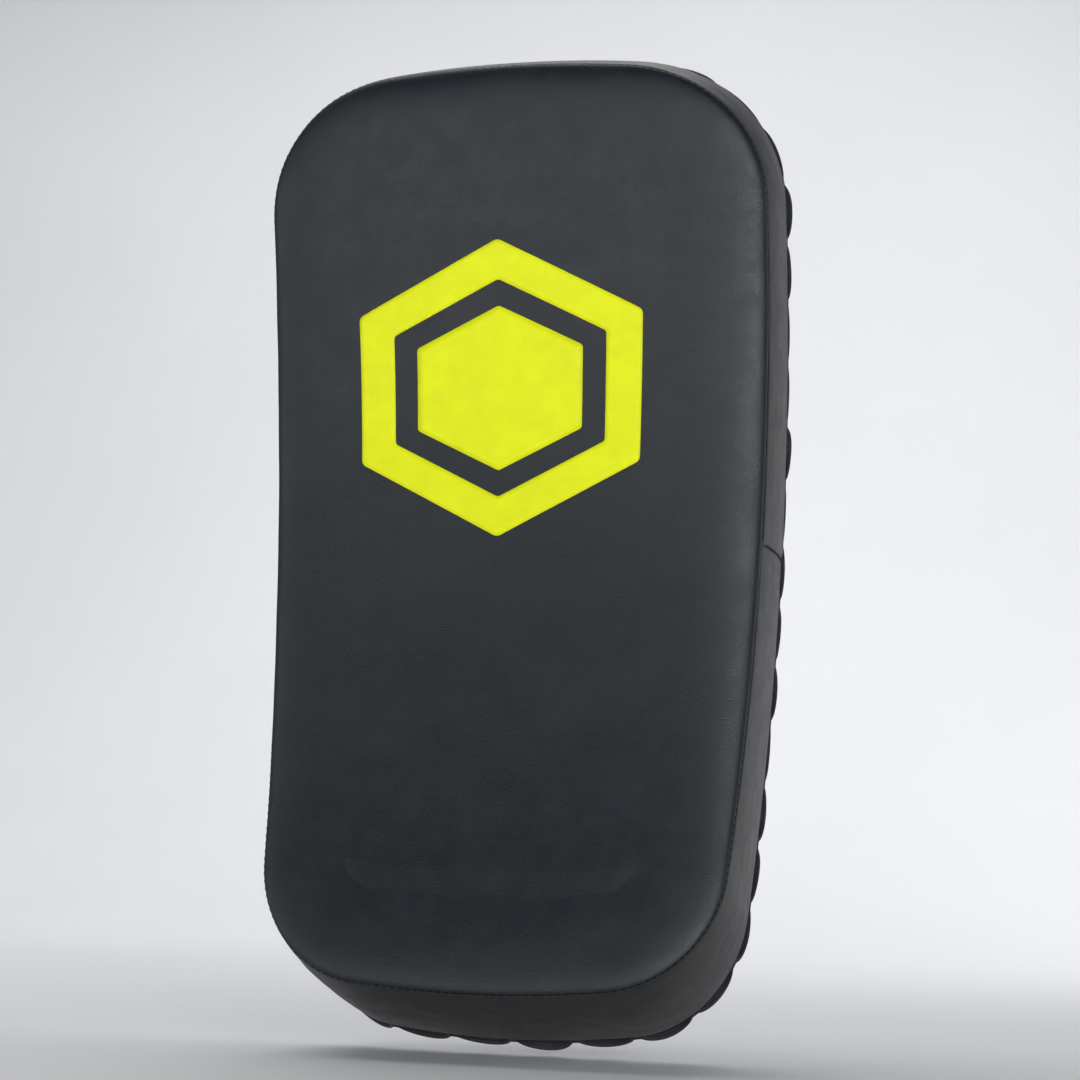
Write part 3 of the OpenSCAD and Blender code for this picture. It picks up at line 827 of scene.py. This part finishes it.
def band_profile():
    """[outward place, depth] down the side band, sunk at both seams."""
    depths = np.array([0, 0.4, 0.8, 1.4, 2.2, 3.6, 6, 10, 16, 23, 31, 39, 47, 55, 63, 71, 78, 84,
                       89, 93, 95.4, 97, 98]) * MM
    out = band_out(depths) - groove(depths, 0.35 * MM, 0.4 * MM)
    return out - groove(DEPTH - depths, 1.4 * MM, 2.2 * MM), depths


def make_band(upper):
    """Half of the side band, from one diagonal join over an end to the other."""
    fineness = 8
    out, depths = band_profile()
    sign = 1 if upper else -1
    steps = np.arange(2 * QUARTER * fineness + 1) / fineness
    j = np.where(steps <= QUARTER, steps, 2 * QUARTER - steps)[:, None]
    mirror = np.where(steps <= QUARTER, 1, -1)[:, None]
    start = sign * (JOIN_FRONT + (JOIN_REAR - JOIN_FRONT) * depths / DEPTH) + GAP / 2

    def surface(grow):
        flat = quarter_point(j, (out + grow)[None, :], upper, start[None, :])
        return flat, bent(flat[..., 0], flat[..., 1], depths[None, :])

    flat, place = surface(0.0)
    away = surface(1 * MM)[1] - place
    normal = away / np.linalg.norm(away, axis=-1, keepdims=True)
    # Wrinkles run lengthwise and gather at the corners
    cornered = np.exp(-((j - SIDE_STEPS - CORNER_STEPS / 2) / 4.5) ** 2)
    share = depths[None, :] / DEPTH
    free = np.sin(math.pi * share) ** 0.5
    lines = np.stack(np.broadcast_arrays(j * 0.3 + mirror * 9.0, share * 11.0, sign), -1)
    fine = noise_at(lines, 1.0, 3.3)
    broad = noise_at(place, 13.0, 5.0)
    # Beside its join the upper half stands proud, and the lower one is drawn in
    from_join = np.abs(flat[..., 1] - sign * start[None, :])
    proud, reach = (0.4 if upper else -0.7) * MM, 22 * MM
    lip = proud * np.exp(-from_join / reach) - groove(from_join, 0.8 * MM, 0.9 * MM)
    move = free * (fine * cornered * 0.75 * MM + broad * 0.5 * MM) + lip
    place = place + normal * move[..., None]
    place[..., 0] *= mirror
    half = "upper" if upper else "lower"
    ob = new_piece(half + "_band_leather", place, grid_faces(*place.shape[:2])[0])
    turn_towards(ob, (0, 0, sign))
    give_thickness(ob, LEATHER)
    finish_piece(ob, BAND_LEATHER, "pad", [half + "_side_band"])


def make_back():
    """The leather back, turned in along its rear seam, with soft waves across its middle."""
    turned_in = [(0.8, 2.2), (0.6, 1.4), (1.2, 0.6), (2.6, 0.15)]
    flat_part = [(x, 0.1) for x in (6, 12, 20, 28, 36, 44, 52)]
    rings = [(-REAR_INSET - x * MM, BACK - y * MM) for x, y in turned_in + flat_part]

    def depth(u, v):
        waves = noise_at(np.stack([u, v, 0 * u], -1), 15.0, 2.0)
        return BACK - 0.1 * MM - 0.55 * MM * (0.6 + 0.4 * waves)

    ob = ringed_sheet("back_leather_panel", rings, depth)[0]
    turn_towards(ob, (0, 1, 0))
    apply_modifier(ob, "SUBSURF", levels=1, render_levels=1)
    give_thickness(ob, LEATHER)
    finish_piece(ob, BACK_LEATHER, "pad", ["back_panel"])


def make_foam(name, node, rings, material):
    """A foam layer through closed rings, a little rough, as it is cut."""
    fineness = 2
    around = COUNT * fineness
    k = np.arange(around) / fineness
    loops = []
    for e, d in rings:
        flat = outline(k, e)
        crowned = d * crown_share(flat[:, 1]) if d < 0 else d
        loops.append(bent(flat[:, 0], flat[:, 1], crowned))
    faces = grid_faces(len(rings), around, False, True)[0].tolist()
    half = around // 2
    for base in (0, (len(rings) - 1) * around):
        for i in range(half):
            quad = [i, i + 1, (around - i - 1) % around, (around - i) % around]
            corners = list(dict.fromkeys(base + x for x in quad))
            if len(corners) > 2:
                faces.append(corners)
    ob = face_outwards(new_piece(name, np.concatenate(loops), faces))
    finish_piece(ob, material, "pad", [node])


def make_foams():
    """The soft face layer, the dense core and the soft backing, sealed in the cover."""
    def sides(start, end, steps=4):
        return [(band_out(d) - SKIN - FOAM_GAP, d) for d in np.linspace(start, end, steps)]

    first, core, backing = 7.4 * MM, 22 * MM, 72 * MM
    face = [tuple(p) for p in face_point(SKIN + FOAM_GAP + 1 * MM, np.linspace(90, 0, 9))]
    make_foam("strike_foam_block", "strike_foam", face + sides(first, core),
              SOFT_FOAM)
    make_foam("core_foam_block", "core_foam", sides(core + GAP, backing),
              DENSE_FOAM)
    make_foam("backing_foam_block", "backing_foam", sides(backing + GAP, DEPTH - GAP),
              SOFT_FOAM)


# ---- Stitching ----

STITCH = 5 * MM


def stitches(name, points, ups, tangents, length, radius, sink):
    """Lockstitches: short thread humps whose ends dive into their holes."""
    t = np.array([-1, -0.8, -0.4, 0, 0.4, 0.8, 1])
    lift = np.array([-1.0, -0.35, 0.1, 0.2, 0.1, -0.35, -1.0]) * sink
    centres = (points[:, None] + tangents[:, None] * (t * length / 2)[None, :, None]
               + ups[:, None] * lift[None, :, None])
    radii = radius * np.array([0.55, 0.9, 1, 1, 1, 0.9, 0.55])
    return tubes(name, centres, np.broadcast_to(ups[:, None], centres.shape), radii)


def rim_stitches(name, e, d, up_e, up_d, length, radius, sink, finder=None, buried=0.0):
    """Stitches round the whole rim along one line, or buried in the surface that finder knows."""
    station, total = station_at(e, d, COUNT * 16)
    count = int(round(total / STITCH))
    k = station((np.arange(count) + 0.5) * total / count)
    points = on_rim(k, e, d)
    tangents = on_rim(k + 0.02, e, d) - on_rim(k - 0.02, e, d)
    tangents /= np.linalg.norm(tangents, axis=1, keepdims=True)
    ups = on_rim(k, e + up_e, d + up_d) - points
    ups /= np.linalg.norm(ups, axis=1, keepdims=True)
    if finder:
        above = 6 * MM
        hits = [finder.ray_cast(Vector(p + above * up), Vector(-up), 2 * above)[0] or p
                for p, up in zip(points, ups)]
        points = np.array(hits, float) - buried * ups
    return stitches(name, points, ups, tangents, length, radius, sink)


def make_seam_threads(finder):
    """The stitches beside the front seam, half sunk in the leather, and those of the rear one."""
    front = rim_stitches("front_stitches", -0.4 * MM, -1.5 * MM, 1.0 * MM, -0.45 * MM,
                         2.0 * MM, 0.5 * MM, 0.2 * MM, finder, 0.22 * MM)
    rear = rim_stitches("rear_stitches", -REAR_INSET - 1.5 * MM, DEPTH - 0.4 * MM, 1 * MM,
                        0.3 * MM, 3.4 * MM, 0.4 * MM, 0.5 * MM)
    for ob, node in ((front, "front_seam_thread"), (rear, "rear_seam_thread")):
        finish_piece(ob, THREAD, "pad", [node])


# ---- Printed target ----

def hexagon(width, height):
    """Corners of an upright six-sided outline."""
    w, h = width / 2, height / 2
    return np.array([(0, -h), (w, -h / 2), (w, h / 2), (0, h), (-w, h / 2), (-w, -h / 2)])


def rounded(corners, radius, steps=5):
    """The outline with each corner rounded by a short arc-like curve, and long edges divided."""
    points = []
    for i in range(len(corners)):
        before, here, after = corners[i - 1], corners[i], corners[(i + 1) % len(corners)]
        a = here + (before - here) / np.linalg.norm(before - here) * radius
        b = here + (after - here) / np.linalg.norm(after - here) * radius
        for t in np.linspace(0, 1, steps):
            points.append((1 - t) ** 2 * a + 2 * t * (1 - t) * here + t * t * b)
        following = after + (here - after) / np.linalg.norm(here - after) * radius
        for t in np.linspace(0, 1, 18)[1:-1]:
            points.append(b + (following - b) * t)
    return np.array(points)


def make_target(finder):
    """A generic target, printed on the face: a six-sided ring round a six-sided core."""
    ring = np.array([2.0, 2.3]) * TARGET_RING
    gap = np.array([1.3, 1.5]) * TARGET_RING
    outer = rounded(hexagon(*TARGET_SIZE), 3 * MM)
    inner = rounded(hexagon(*(TARGET_SIZE - ring)), 2 * MM)
    core = rounded(hexagon(*(TARGET_SIZE - ring - gap)), 2 * MM)
    ring_rows = [outer + (inner - outer) * t for t in np.linspace(0, 1, 9)]
    core_rows = [core * t for t in np.linspace(1, 0.03, 12)]
    points, faces, start = [], [], 0
    for rows in (ring_rows, core_rows):
        cols = len(rows[0])
        faces += (grid_faces(len(rows), cols, False, True)[0] + start).tolist()
        points += rows
        start += len(rows) * cols
    faces.append(list(range(start - len(core), start)))
    flat = np.concatenate(points) + TARGET_PLACE
    clear, film = 0.22 * MM, 0.16 * MM
    front = bent(flat[:, 0], flat[:, 1], -CROWN - 30 * MM)
    behind = bent(flat[:, 0], flat[:, 1], 0.0)
    placed = []
    for a, b in zip(front, behind):
        hit, normal = finder.ray_cast(Vector(a), Vector(b - a))[:2]
        placed.append(hit + normal * clear)
    ob = new_piece("target_film", np.array(placed), faces)
    turn_towards(ob, (0, -1, 0))
    give_thickness(ob, film)
    finish_piece(ob, LIME, "pad", ["target_print"])


# ---- Webbing ----

def web_section(width, thick, rib, points_per_rib=4):
    """Points [across, height] round a strip of webbing, and their UV across it."""
    height = 0.13 * MM
    ribs = max(3, int(round(width / rib)))
    x = np.linspace(-width / 2, width / 2, ribs * points_per_rib + 1)[1:-1]
    edge = np.minimum(1, (width / 2 - np.abs(x)) / (thick * 0.6))
    half = thick / 2 * np.sqrt(1 - (1 - edge) ** 2 * 0.75)
    ridge = height * np.cos(2 * math.pi * ribs * (x / width + 0.5)) * edge
    y = half - height - ridge
    across = np.concatenate([x, [width / 2], x[::-1], [-width / 2]])
    return np.stack([across, np.concatenate([y, [0], -y[::-1], [0]])], -1), across


def loop_line(n, rng, lively):
    """Running length, lift, flare and tilt along one loop of the rim webbing, tack to tack."""
    angle = np.linspace(0, math.pi, 25)
    hump = np.sin(angle)
    reach = rim_pitch - TACK
    high = LOOP_ROOM * (1 - 0.3 * lively * rng.random())
    lean = reach * 0.2 * lively * (rng.random() - 0.3)
    share = 0.72 * (1 - np.cos(angle)) / 2 + 0.28 * angle / math.pi
    s = n * rim_pitch + TACK / 2 + WEB / 2 + (reach - WEB) * share + lean * hump ** 2
    lift = WEB / 2 + high * hump ** 1.1
    slack = rng.random() ** 2
    flare = LOOP_FLARE * (0.9 * slack - 0.35 + 0.3 * (1 - lively)) * hump
    tilt = 2.4 * MM * lively * (rng.random() - 0.6) * hump
    return s, lift, flare, tilt


def make_rim_webbing(side, first, last, lively):
    """One stretch of the rim webbing: loops between bar tacks, as one strip."""
    rng = random.Random(100 + first)
    lines = [loop_line(n, rng, lively) for n in range(first, last + 1)]
    s, lift, flare, tilt = (np.concatenate([line[i] for line in lines]) for i in range(4))
    s = np.concatenate([[first * rim_pitch], s, [(last + 1) * rim_pitch]])
    lift, flare, tilt = (np.pad(line, 1, constant_values=end)
                         for line, end in ((lift, WEB / 2), (flare, 0), (tilt, 0)))
    slope = np.arctan2(np.gradient(lift), np.gradient(s))
    section, across = web_section(WEB_WIDTH - EDGE_ROOM, WEB, RIM_RIB)
    x = section[None, :, 0] / (WEB_WIDTH / 2)
    thick = section[None, :, 1]
    # The strip cups a little across its width where it stands highest
    place_s = s[:, None] - thick * np.sin(slope)[:, None]
    place_d = SEAT + lift[:, None] + thick * np.cos(slope)[:, None] + tilt[:, None] * x
    cup = -0.5 * MM * (1 - x ** 2) * (lift / (LOOP_ROOM + WEB))[:, None]
    middle = (RIM_OUTER + RIM_INNER) / 2
    e = middle + section[None, :, 0] + flare[:, None] * (0.5 + 0.5 * x)
    stations = on_rim(rim_station(place_s), e, np.maximum(place_d + cup, SEAT))
    along = np.concatenate([[0], np.cumsum(np.hypot(np.diff(s), np.diff(lift)))])
    ob = swept("rim_web_" + side, stations, across, along)
    finish_piece(ob, RIM_WEBBING, "pad", ["rim_webbing_" + side])


def make_rim_tacks():
    """A bar tack between each two loops: a dense zigzag of thread over the webbing."""
    rng = random.Random(5)
    strands, first, spread, half = 21, 1.6 * MM, 21.6 * MM, 1.55 * MM
    scatter_e, scatter_s, zigzag = 0.15 * MM, 0.12 * MM, 0.35 * MM
    t = np.array([-1.0, -0.7, 0.0, 0.7, 1.0])
    depth = SEAT + WEB + np.array([-0.35, 0.3, 0.5, 0.3, -0.35]) * MM
    lines, ups = [], []
    for n in range(LOOPS):
        for i in range(strands):
            e = RIM_INNER + first + spread * (i + 0.5) / strands + scatter_e * rng.uniform(-1, 1)
            s = n * rim_pitch + t * half + scatter_s * rng.uniform(-1, 1)
            e = e + (zigzag if i % 2 else -zigzag) * t
            lines.append(on_rim(rim_station(s), e, depth))
            ups.append(on_rim(rim_station(s), e, depth + 1 * MM) - lines[-1])
    radii = np.array([0.45, 0.55, 0.6, 0.55, 0.45]) * MM
    ob = tubes("rim_tack_stitches", np.array(lines), np.array(ups), radii)
    finish_piece(ob, THREAD, "pad", ["rim_tacks"])


rim_station, rim_length = station_at(RIM_OUTER, SEAT, COUNT)
rim_pitch = rim_length / LOOPS


def on_back(v):
    """The frame matrix of the back at height v: X across, Y away from the pad, Z up along it."""
    place = Vector(bent(0.0, v, BACK).tolist())
    return Matrix.Translation(place) @ Matrix.Rotation(v / BEND, 4, "X")


def turned_by(matrix, directions):
    return np.asarray(directions, float) @ np.array(matrix)[:3, :3].T


def to_frame(matrix, points):
    """Local points of a back fitting, in the frame."""
    return turned_by(matrix, points) + np.array(matrix)[:3, 3]


def resampled(path, step):
    """A smooth path through points, divided into even steps."""
    path = np.asarray(path, float)
    run = np.concatenate([[0], np.cumsum(np.linalg.norm(np.diff(path, axis=0), axis=1))])
    count = max(2, int(round(run[-1] / step)))
    s = np.linspace(0, run[-1], count + 1)
    return np.stack([np.interp(s, run, path[:, i]) for i in range(path.shape[1])], -1), s


def strap_strip(name, matrix, path, width, thick, rib=STRAP_RIB, step=2.2 * MM):
    """A strip of webbing along a path [x, y] on the back, its width along Z."""
    line, run = resampled(path, step)
    along = np.gradient(line, axis=0)
    along /= np.linalg.norm(along, axis=1, keepdims=True)
    normal = np.stack([along[:, 1], -along[:, 0]], -1)
    section, across = web_section(width, thick, rib)
    xy = line[:, None] + normal[:, None] * section[None, :, 1:]
    z = np.broadcast_to(section[:, 0], xy.shape[:2])
    local = np.concatenate([xy, z[..., None]], -1)
    return swept(name, to_frame(matrix, local), across, run)


def arc(radius, start, end, steps=40):
    """Points of a strap's arc, in degrees about its centre."""
    t = np.radians(np.linspace(start, end, steps))
    return np.stack([radius * np.cos(t), radius * np.sin(t) - STRAP_DROP], -1)


def curve(points, steps=14):
    """A Bezier curve through its first and last points, pulled by those between."""
    points = np.asarray(points, float)
    t = np.linspace(0, 1, steps)[:, None]
    n = len(points) - 1
    return sum(math.comb(n, i) * (1 - t) ** (n - i) * t ** i * p for i, p in enumerate(points))


def line_stitches(name, matrix, paths, height, pitch=3.4 * MM):
    """Stitches along paths [x, z] that lie flat on the back at a height."""
    points, tangents = [], []
    for path in paths:
        line = resampled(path, pitch)[0]
        middle = (line[1:] + line[:-1]) / 2
        along = np.diff(line, axis=0)
        along /= np.linalg.norm(along, axis=1, keepdims=True)
        points.append(np.stack([middle[:, 0], np.full(len(middle), height), middle[:, 1]], -1))
        tangents.append(np.stack([along[:, 0], np.zeros(len(middle)), along[:, 1]], -1))
    points, tangents = np.concatenate(points), np.concatenate(tangents)
    ups = turned_by(matrix, np.broadcast_to([0, 1, 0], points.shape))
    return stitches(name, to_frame(matrix, points), ups, turned_by(matrix, tangents),
                    2.5 * MM, 0.4 * MM, 0.4 * MM)


def box_stitch(x0, x1, z0, z1):
    """The paths of a sewn box with a cross in it."""
    return [[(x0, z0), (x1, z0), (x1, z1), (x0, z1), (x0, z0)],
            [(x0, z0), (x1, z1)], [(x0, z1), (x1, z0)]]


def leather_patch(name, matrix, x0, x1, z0, z1, low, thick):
    """A leather patch with rounded corners and a soft edge, on the back."""
    corner, least, steps = 5 * MM, 0.6 * MM, 6
    mid_x, mid_z = (x0 + x1) / 2, (z0 + z1) / 2
    corners = [(x1, z1, 0), (x0, z1, 90), (x0, z0, 180), (x1, z0, 270)]
    # How far each row lies inside the edge, in millimetres, and its share of the thickness
    insets = [(0.9, 0.0), (0.25, 0.15), (0.0, 0.5), (0.25, 0.85), (1.0, 1.0), (3.5, 1.03),
              (7.0, 1.0)]
    rows = []
    for inset, level in insets:
        radius = max(corner - inset * MM, least)
        back = corner + max(0.0, inset * MM - corner + least)
        for x, z, first in corners:
            px = x - math.copysign(back, x - mid_x)
            pz = z - math.copysign(back, z - mid_z)
            for t in np.radians(np.linspace(first, first + 90, steps)):
                rows.append((px + radius * math.cos(t), low + thick * level,
                             pz + radius * math.sin(t)))
    cols = len(corners) * steps
    faces = grid_faces(len(insets), cols, False, True)[0].tolist()
    faces += [list(range(cols)), list(range(len(rows) - cols, len(rows)))]
    return face_outwards(new_piece(name, to_frame(matrix, rows), faces))


def sew_patches(name, matrix, near, far, half, low):
    """Two leather patches, near to far from the middle, and the stitches that hold them."""
    spans = [(near, far), (-far, -near)]
    edge = half - SEWN_EDGE
    paths = [p for x0, x1 in spans for p in box_stitch(x0 + SEWN_EDGE, x1 - SEWN_EDGE, -edge, edge)]
    patches = [leather_patch(f"{name}_{i}", matrix, x0, x1, -half, half, low, ANCHOR)
               for i, (x0, x1) in enumerate(spans)]
    sewing = line_stitches(name + "_stitches", matrix, paths, low + ANCHOR)
    finish_piece(sewing, THREAD, "pad")
    return patches


# ---- Forearm straps ----

def make_comfort_pad(which, matrix):
    """The padded sleeve under a strap: a swollen channel-quilted pad."""
    middle = STRAP_IN - COMFORT / 2 - 0.2 * MM
    half_t, half_w = COMFORT / 2 - 1.0 * MM, STRAP_WIDTH / 2 + 3.0 * MM
    angles = np.radians(np.linspace(53.5, 150.5, 60))
    channel_angles = np.array([72, 92, 112, 132])
    t = np.linspace(0, 2 * math.pi, 40, endpoint=False)
    ring_r = half_t * np.sign(np.sin(t)) * np.abs(np.sin(t)) ** 0.6
    ring_z = half_w * np.sign(np.cos(t)) * np.abs(np.cos(t)) ** 0.25
    taper = np.minimum(1, np.sin(np.linspace(0, math.pi, 60)) * 6 + 0.35)[:, None]
    radius = middle + ring_r[None] * taper
    local = np.stack([
        radius * np.cos(angles)[:, None],
        radius * np.sin(angles)[:, None] - STRAP_DROP,
        ring_z[None] * (0.9 + 0.1 * taper)], -1)
    ob = swept(which + "_comfort_pad", to_frame(matrix, local), t, angles)
    apply_modifier(ob, "REMESH", mode="VOXEL", voxel_size=2.6 * MM)
    inflate(ob, [], 2.0, 0.9 * MM, 30.0)
    apply_modifier(ob, "SUBSURF", levels=1, render_levels=1)
    own = to_frame(matrix.inverted(), coords(ob.data))
    angle = np.degrees(np.arctan2(own[:, 1] + STRAP_DROP, own[:, 0]))
    far = np.hypot(own[:, 0], own[:, 1] + STRAP_DROP)
    # Sewn channels and edges sink on the arm's side
    channels = np.radians(np.min(np.abs(angle[:, None] - channel_angles), axis=1)) * middle
    dip = groove(channels, 1.2 * MM, 2.0 * MM)
    dip += groove(half_w - np.abs(own[:, 2]) - 4 * MM, 0.7 * MM, 1.0 * MM)
    scale = (far + dip * (far < middle)) / far
    own[:, 0] *= scale
    own[:, 1] = (own[:, 1] + STRAP_DROP) * scale - STRAP_DROP
    set_coords(ob.data, to_frame(matrix, own))
    ob.data.polygons.foreach_set("use_smooth", [True] * len(ob.data.polygons))
    finish_piece(ob, PADDING, "pad", [which + "_strap_pad"])


def make_flap(which, matrix, foot_y):
    """The half that opens: it comes from under its patch, folds up and runs over the other half."""
    up = arc(FLAP_MID, math.degrees(FOLD_ANGLE) + 1.5, 113.5)
    tab_x = STRAP_HALF + 9 * MM
    bend = curve([(tab_x, foot_y), (tab_x - 7 * MM, foot_y),
                  (up[0][0] + 0.4 * MM, foot_y + 0.4 * MM), up[0] + [0.9 * MM, -3 * MM], up[0]])
    path = np.concatenate([[(tab_x + 24 * MM, foot_y)], bend[:-1], up])
    flap = strap_strip(which + "_flap_webbing", matrix, path, STRAP_WIDTH - EDGE_ROOM, STRAP_WEB)
    finish_piece(flap, STRAP_WEBBING, None, [which + "_strap_flap", which + "_flap_tab"])
    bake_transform(flap)


def make_hem(which, matrix):
    """Two rows of stitches across the flap's free end."""
    reach, angle = STRAP_WIDTH / 2 - SEWN_EDGE, 111.5
    rows = [[(x, -reach), (x, reach)] for x in (0.0, 3 * MM)]
    turned = (matrix @ Matrix.Translation((0, -STRAP_DROP, 0))
              @ Matrix.Rotation(math.radians(angle - 90), 4, "Z"))
    hem = line_stitches(which + "_hem_stitches", turned, rows,
                        FLAP_MID + STRAP_WEB / 2 - 0.1 * MM)
    finish_piece(hem, THREAD, which + "_flap")


def make_strap(which):
    """One forearm strap: the sewn half, its padding, the patches and the flap that opens."""
    matrix = on_back(STRAP_V[which])
    foot_x, foot_y = -STRAP_HALF, GAP + STRAP_WEB / 2
    base = 180 - math.degrees(math.asin((STRAP_DROP + foot_y + 4 * MM) / STRAP_R))
    rise = arc(STRAP_R, 46, base)
    foot = curve([rise[-1], rise[-1] + [-0.9 * MM, -3.4 * MM], (foot_x - 3.5 * MM, foot_y),
                  (foot_x - 9 * MM, foot_y)])
    path = np.concatenate([rise, foot[1:], [(foot_x - 30 * MM, foot_y)]])
    inner = strap_strip(which + "_strap_webbing", matrix, path, STRAP_WIDTH - EDGE_ROOM, STRAP_WEB)
    finish_piece(inner, STRAP_WEBBING, "pad", [which + "_strap_inner"])
    make_comfort_pad(which, matrix)
    for kind, low, ends, material, body in [
            ("loop", LOOP_IN, (50.5, 117.5), LOOP_PILE, "pad"),
            ("hook", HOOK_IN, (54.5, 107.5), HOOK_PILE, which + "_flap")]:
        strip = strap_strip(f"{which}_{kind}_strip", matrix, arc(low + PATCH / 2, *ends),
                            STRAP_WIDTH - 5 * MM, PATCH)
        finish_piece(strip, material, body, [f"{which}_{kind}_patch"])
    make_flap(which, matrix, foot_y)
    patches = sew_patches(which + "_anchor", matrix, STRAP_HALF + 8 * MM, STRAP_HALF + 40 * MM,
                          STRAP_WIDTH / 2 + 5 * MM, ANCHOR_SEAT)
    make_hem(which, matrix)
    return patches


# ---- Hand grip ----

def grip_path():
    """The grip webbing's centre line, from one sewn foot over to the other."""
    foot_y = GAP + STRAP_WEB / 2
    turn_x, turn_y = GRIP_HALF - GRIP_BEND, GRIP_REACH - GRIP_BEND
    t = np.radians(np.linspace(0, 90, 12))
    corner = np.stack([turn_x + GRIP_BEND * np.cos(t), turn_y + GRIP_BEND * np.sin(t)], -1)
    leg = [(GRIP_HALF + 31 * MM, foot_y), (GRIP_HALF + 8 * MM, foot_y)]
    bend = curve([leg[-1], (GRIP_HALF + 0.6 * MM, foot_y), (GRIP_HALF, foot_y + 1 * MM),
                  (GRIP_HALF, foot_y + 8 * MM)])
    right = np.concatenate([leg[:1], bend, corner])
    return np.concatenate([right, (right * [-1, 1])[::-1]])


def sleeve_point(x, angle, radius):
    """A point of the grip sleeve's surface, and the direction out of it."""
    up = np.array([0, math.cos(angle), math.sin(angle)])
    return np.array([x, GRIP_REACH, 0]) + up * radius, up


def sleeve_stitches(matrix):
    """Stitches on both sides of the sleeve's lengthwise seam, and round each end."""
    half, radius = SLEEVE_LENGTH / 2, SLEEVE_D / 2
    rows = [(*sleeve_point(x, angle, radius - 0.55 * MM), (1, 0, 0))
            for angle in (math.pi - 0.2, math.pi + 0.2)
            for x in np.arange(-half + 9 * MM, half - 8.9 * MM, 4 * MM)]
    rows += [(*sleeve_point(x, angle, radius - 0.95 * MM), (0, -math.sin(angle), math.cos(angle)))
             for x in (-half + 7 * MM, half - 7 * MM)
             for angle in np.arange(24) * 2 * math.pi / 24]
    points, ups, tangents = (np.array(part, float) for part in zip(*rows))
    sewing = stitches("grip_sleeve_stitches", to_frame(matrix, points), turned_by(matrix, ups),
                      turned_by(matrix, tangents), 2.7 * MM, 0.4 * MM, 0.45 * MM)
    finish_piece(sewing, THREAD, "grip")


def make_sleeve(matrix):
    """The padded grip sleeve: a stitched leather tube with rolled ends and soft finger waves."""
    rows, cols, finger = 60, 56, 23 * MM
    half = SLEEVE_LENGTH / 2
    x = np.linspace(-half, half, rows)
    edge = np.clip((half - np.abs(x)) / (4 * MM), 0, 1)
    roll = np.sqrt(1 - (1 - edge) ** 2)
    radius = (SLEEVE_D / 2 - 0.3 * MM) * (0.86 + 0.14 * roll)
    radius += -0.35 * MM * (1 - np.cos(2 * math.pi * x / finger)) * edge / 2
    radius -= groove(half - np.abs(x) - 7 * MM, 0.5 * MM, 1.1 * MM)
    t = np.linspace(0, 2 * math.pi, cols, endpoint=False)
    r = radius[:, None] - groove(t - math.pi, 0.7 * MM, 0.12)[None, :]
    round_y, round_z = np.cos(t), np.sin(t)
    local = np.stack([np.broadcast_to(x[:, None], r.shape),
                      GRIP_REACH + r * round_y, r * round_z], -1)
    waves = 0.25 * MM * noise_at(to_frame(matrix, local), 60.0, 1.0)
    local[..., 1] += waves * round_y
    local[..., 2] += waves * round_z
    # The ends close inwards on to the webbing
    faces = grid_faces(rows, cols, False, True)[0].tolist()
    tuck_y = GRIP_REACH + (STRAP_WEB / 2 + 0.8 * MM) * round_y
    tuck_z = (WEB_WIDTH / 2 - 0.6 * MM) * round_z
    loops = [local]
    for sign, row, base in ((1, rows - 1, rows * cols), (-1, 0, (rows + 2) * cols)):
        tuck = np.stack([np.full(cols, sign * (half - 2.5 * MM)), tuck_y, tuck_z], -1)
        lip = (local[row] + tuck) / 2 + np.array([sign * 0.8 * MM, 0, 0])
        loops.append(np.stack([lip, tuck]))
        ring, inner = row * cols, base + cols
        for c in range(cols):
            n = (c + 1) % cols
            faces.append([ring + c, ring + n, base + n, base + c])
            faces.append([base + c, base + n, inner + n, inner + c])
        faces.append([inner + c for c in range(cols)])
    points = to_frame(matrix, np.concatenate([loop.reshape(-1, 3) for loop in loops]))
    ob = face_outwards(new_piece("grip_sleeve_leather", points, faces))
    finish_piece(ob, GRIP_LEATHER, "grip", ["grip_sleeve"])
    sleeve_stitches(matrix)


def make_grip():
    """The hand grip: webbing from one sewn foot to the other, through a padded sleeve."""
    matrix = on_back(GRIP_V)
    strap = strap_strip("grip_strap_webbing", matrix, grip_path(), WEB_WIDTH - EDGE_ROOM,
                        STRAP_WEB, RIM_RIB, 1.6 * MM)
    finish_piece(strap, STRAP_WEBBING, None, ["grip_webbing", "grip_tabs"])
    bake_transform(strap)
    make_sleeve(matrix)
    return sew_patches("grip_anchor", matrix, GRIP_HALF + 5 * MM, GRIP_HALF + 35 * MM,
                       WEB_WIDTH / 2 + 6 * MM, ANCHOR_SEAT)


def join_patches(name, patches):
    """Several leather patches as one piece."""
    points, faces, start = [], [], 0
    for ob in patches:
        points.append(coords(ob.data))
        faces += [[i + start for i in p.vertices] for p in ob.data.polygons]
        start += len(ob.data.vertices)
        bpy.data.objects.remove(ob)
    joined = new_piece(name + "_leather", np.concatenate(points), faces)
    finish_piece(joined, GRIP_LEATHER, "pad", [name + "_patches"])


# ---- The whole pad ----

make_camera()
make_stage()
make_lights()
face_finder = make_face()
make_target(face_finder)
make_band(True)
make_band(False)
make_back()
make_foams()
make_seam_threads(face_finder)

first = END_LOOPS // 2
for side, count in (("right", SIDE_LOOPS), ("top", END_LOOPS), ("left", SIDE_LOOPS)):
    make_rim_webbing(side, first, first + count - 1, 1.0)
    first += count
make_rim_webbing("bottom", -END_LOOPS // 2, END_LOOPS // 2 - 1, 0.6)
make_rim_tacks()

join_patches("strap_anchor", make_strap("upper") + make_strap("lower"))
join_patches("grip_anchor", make_grip())
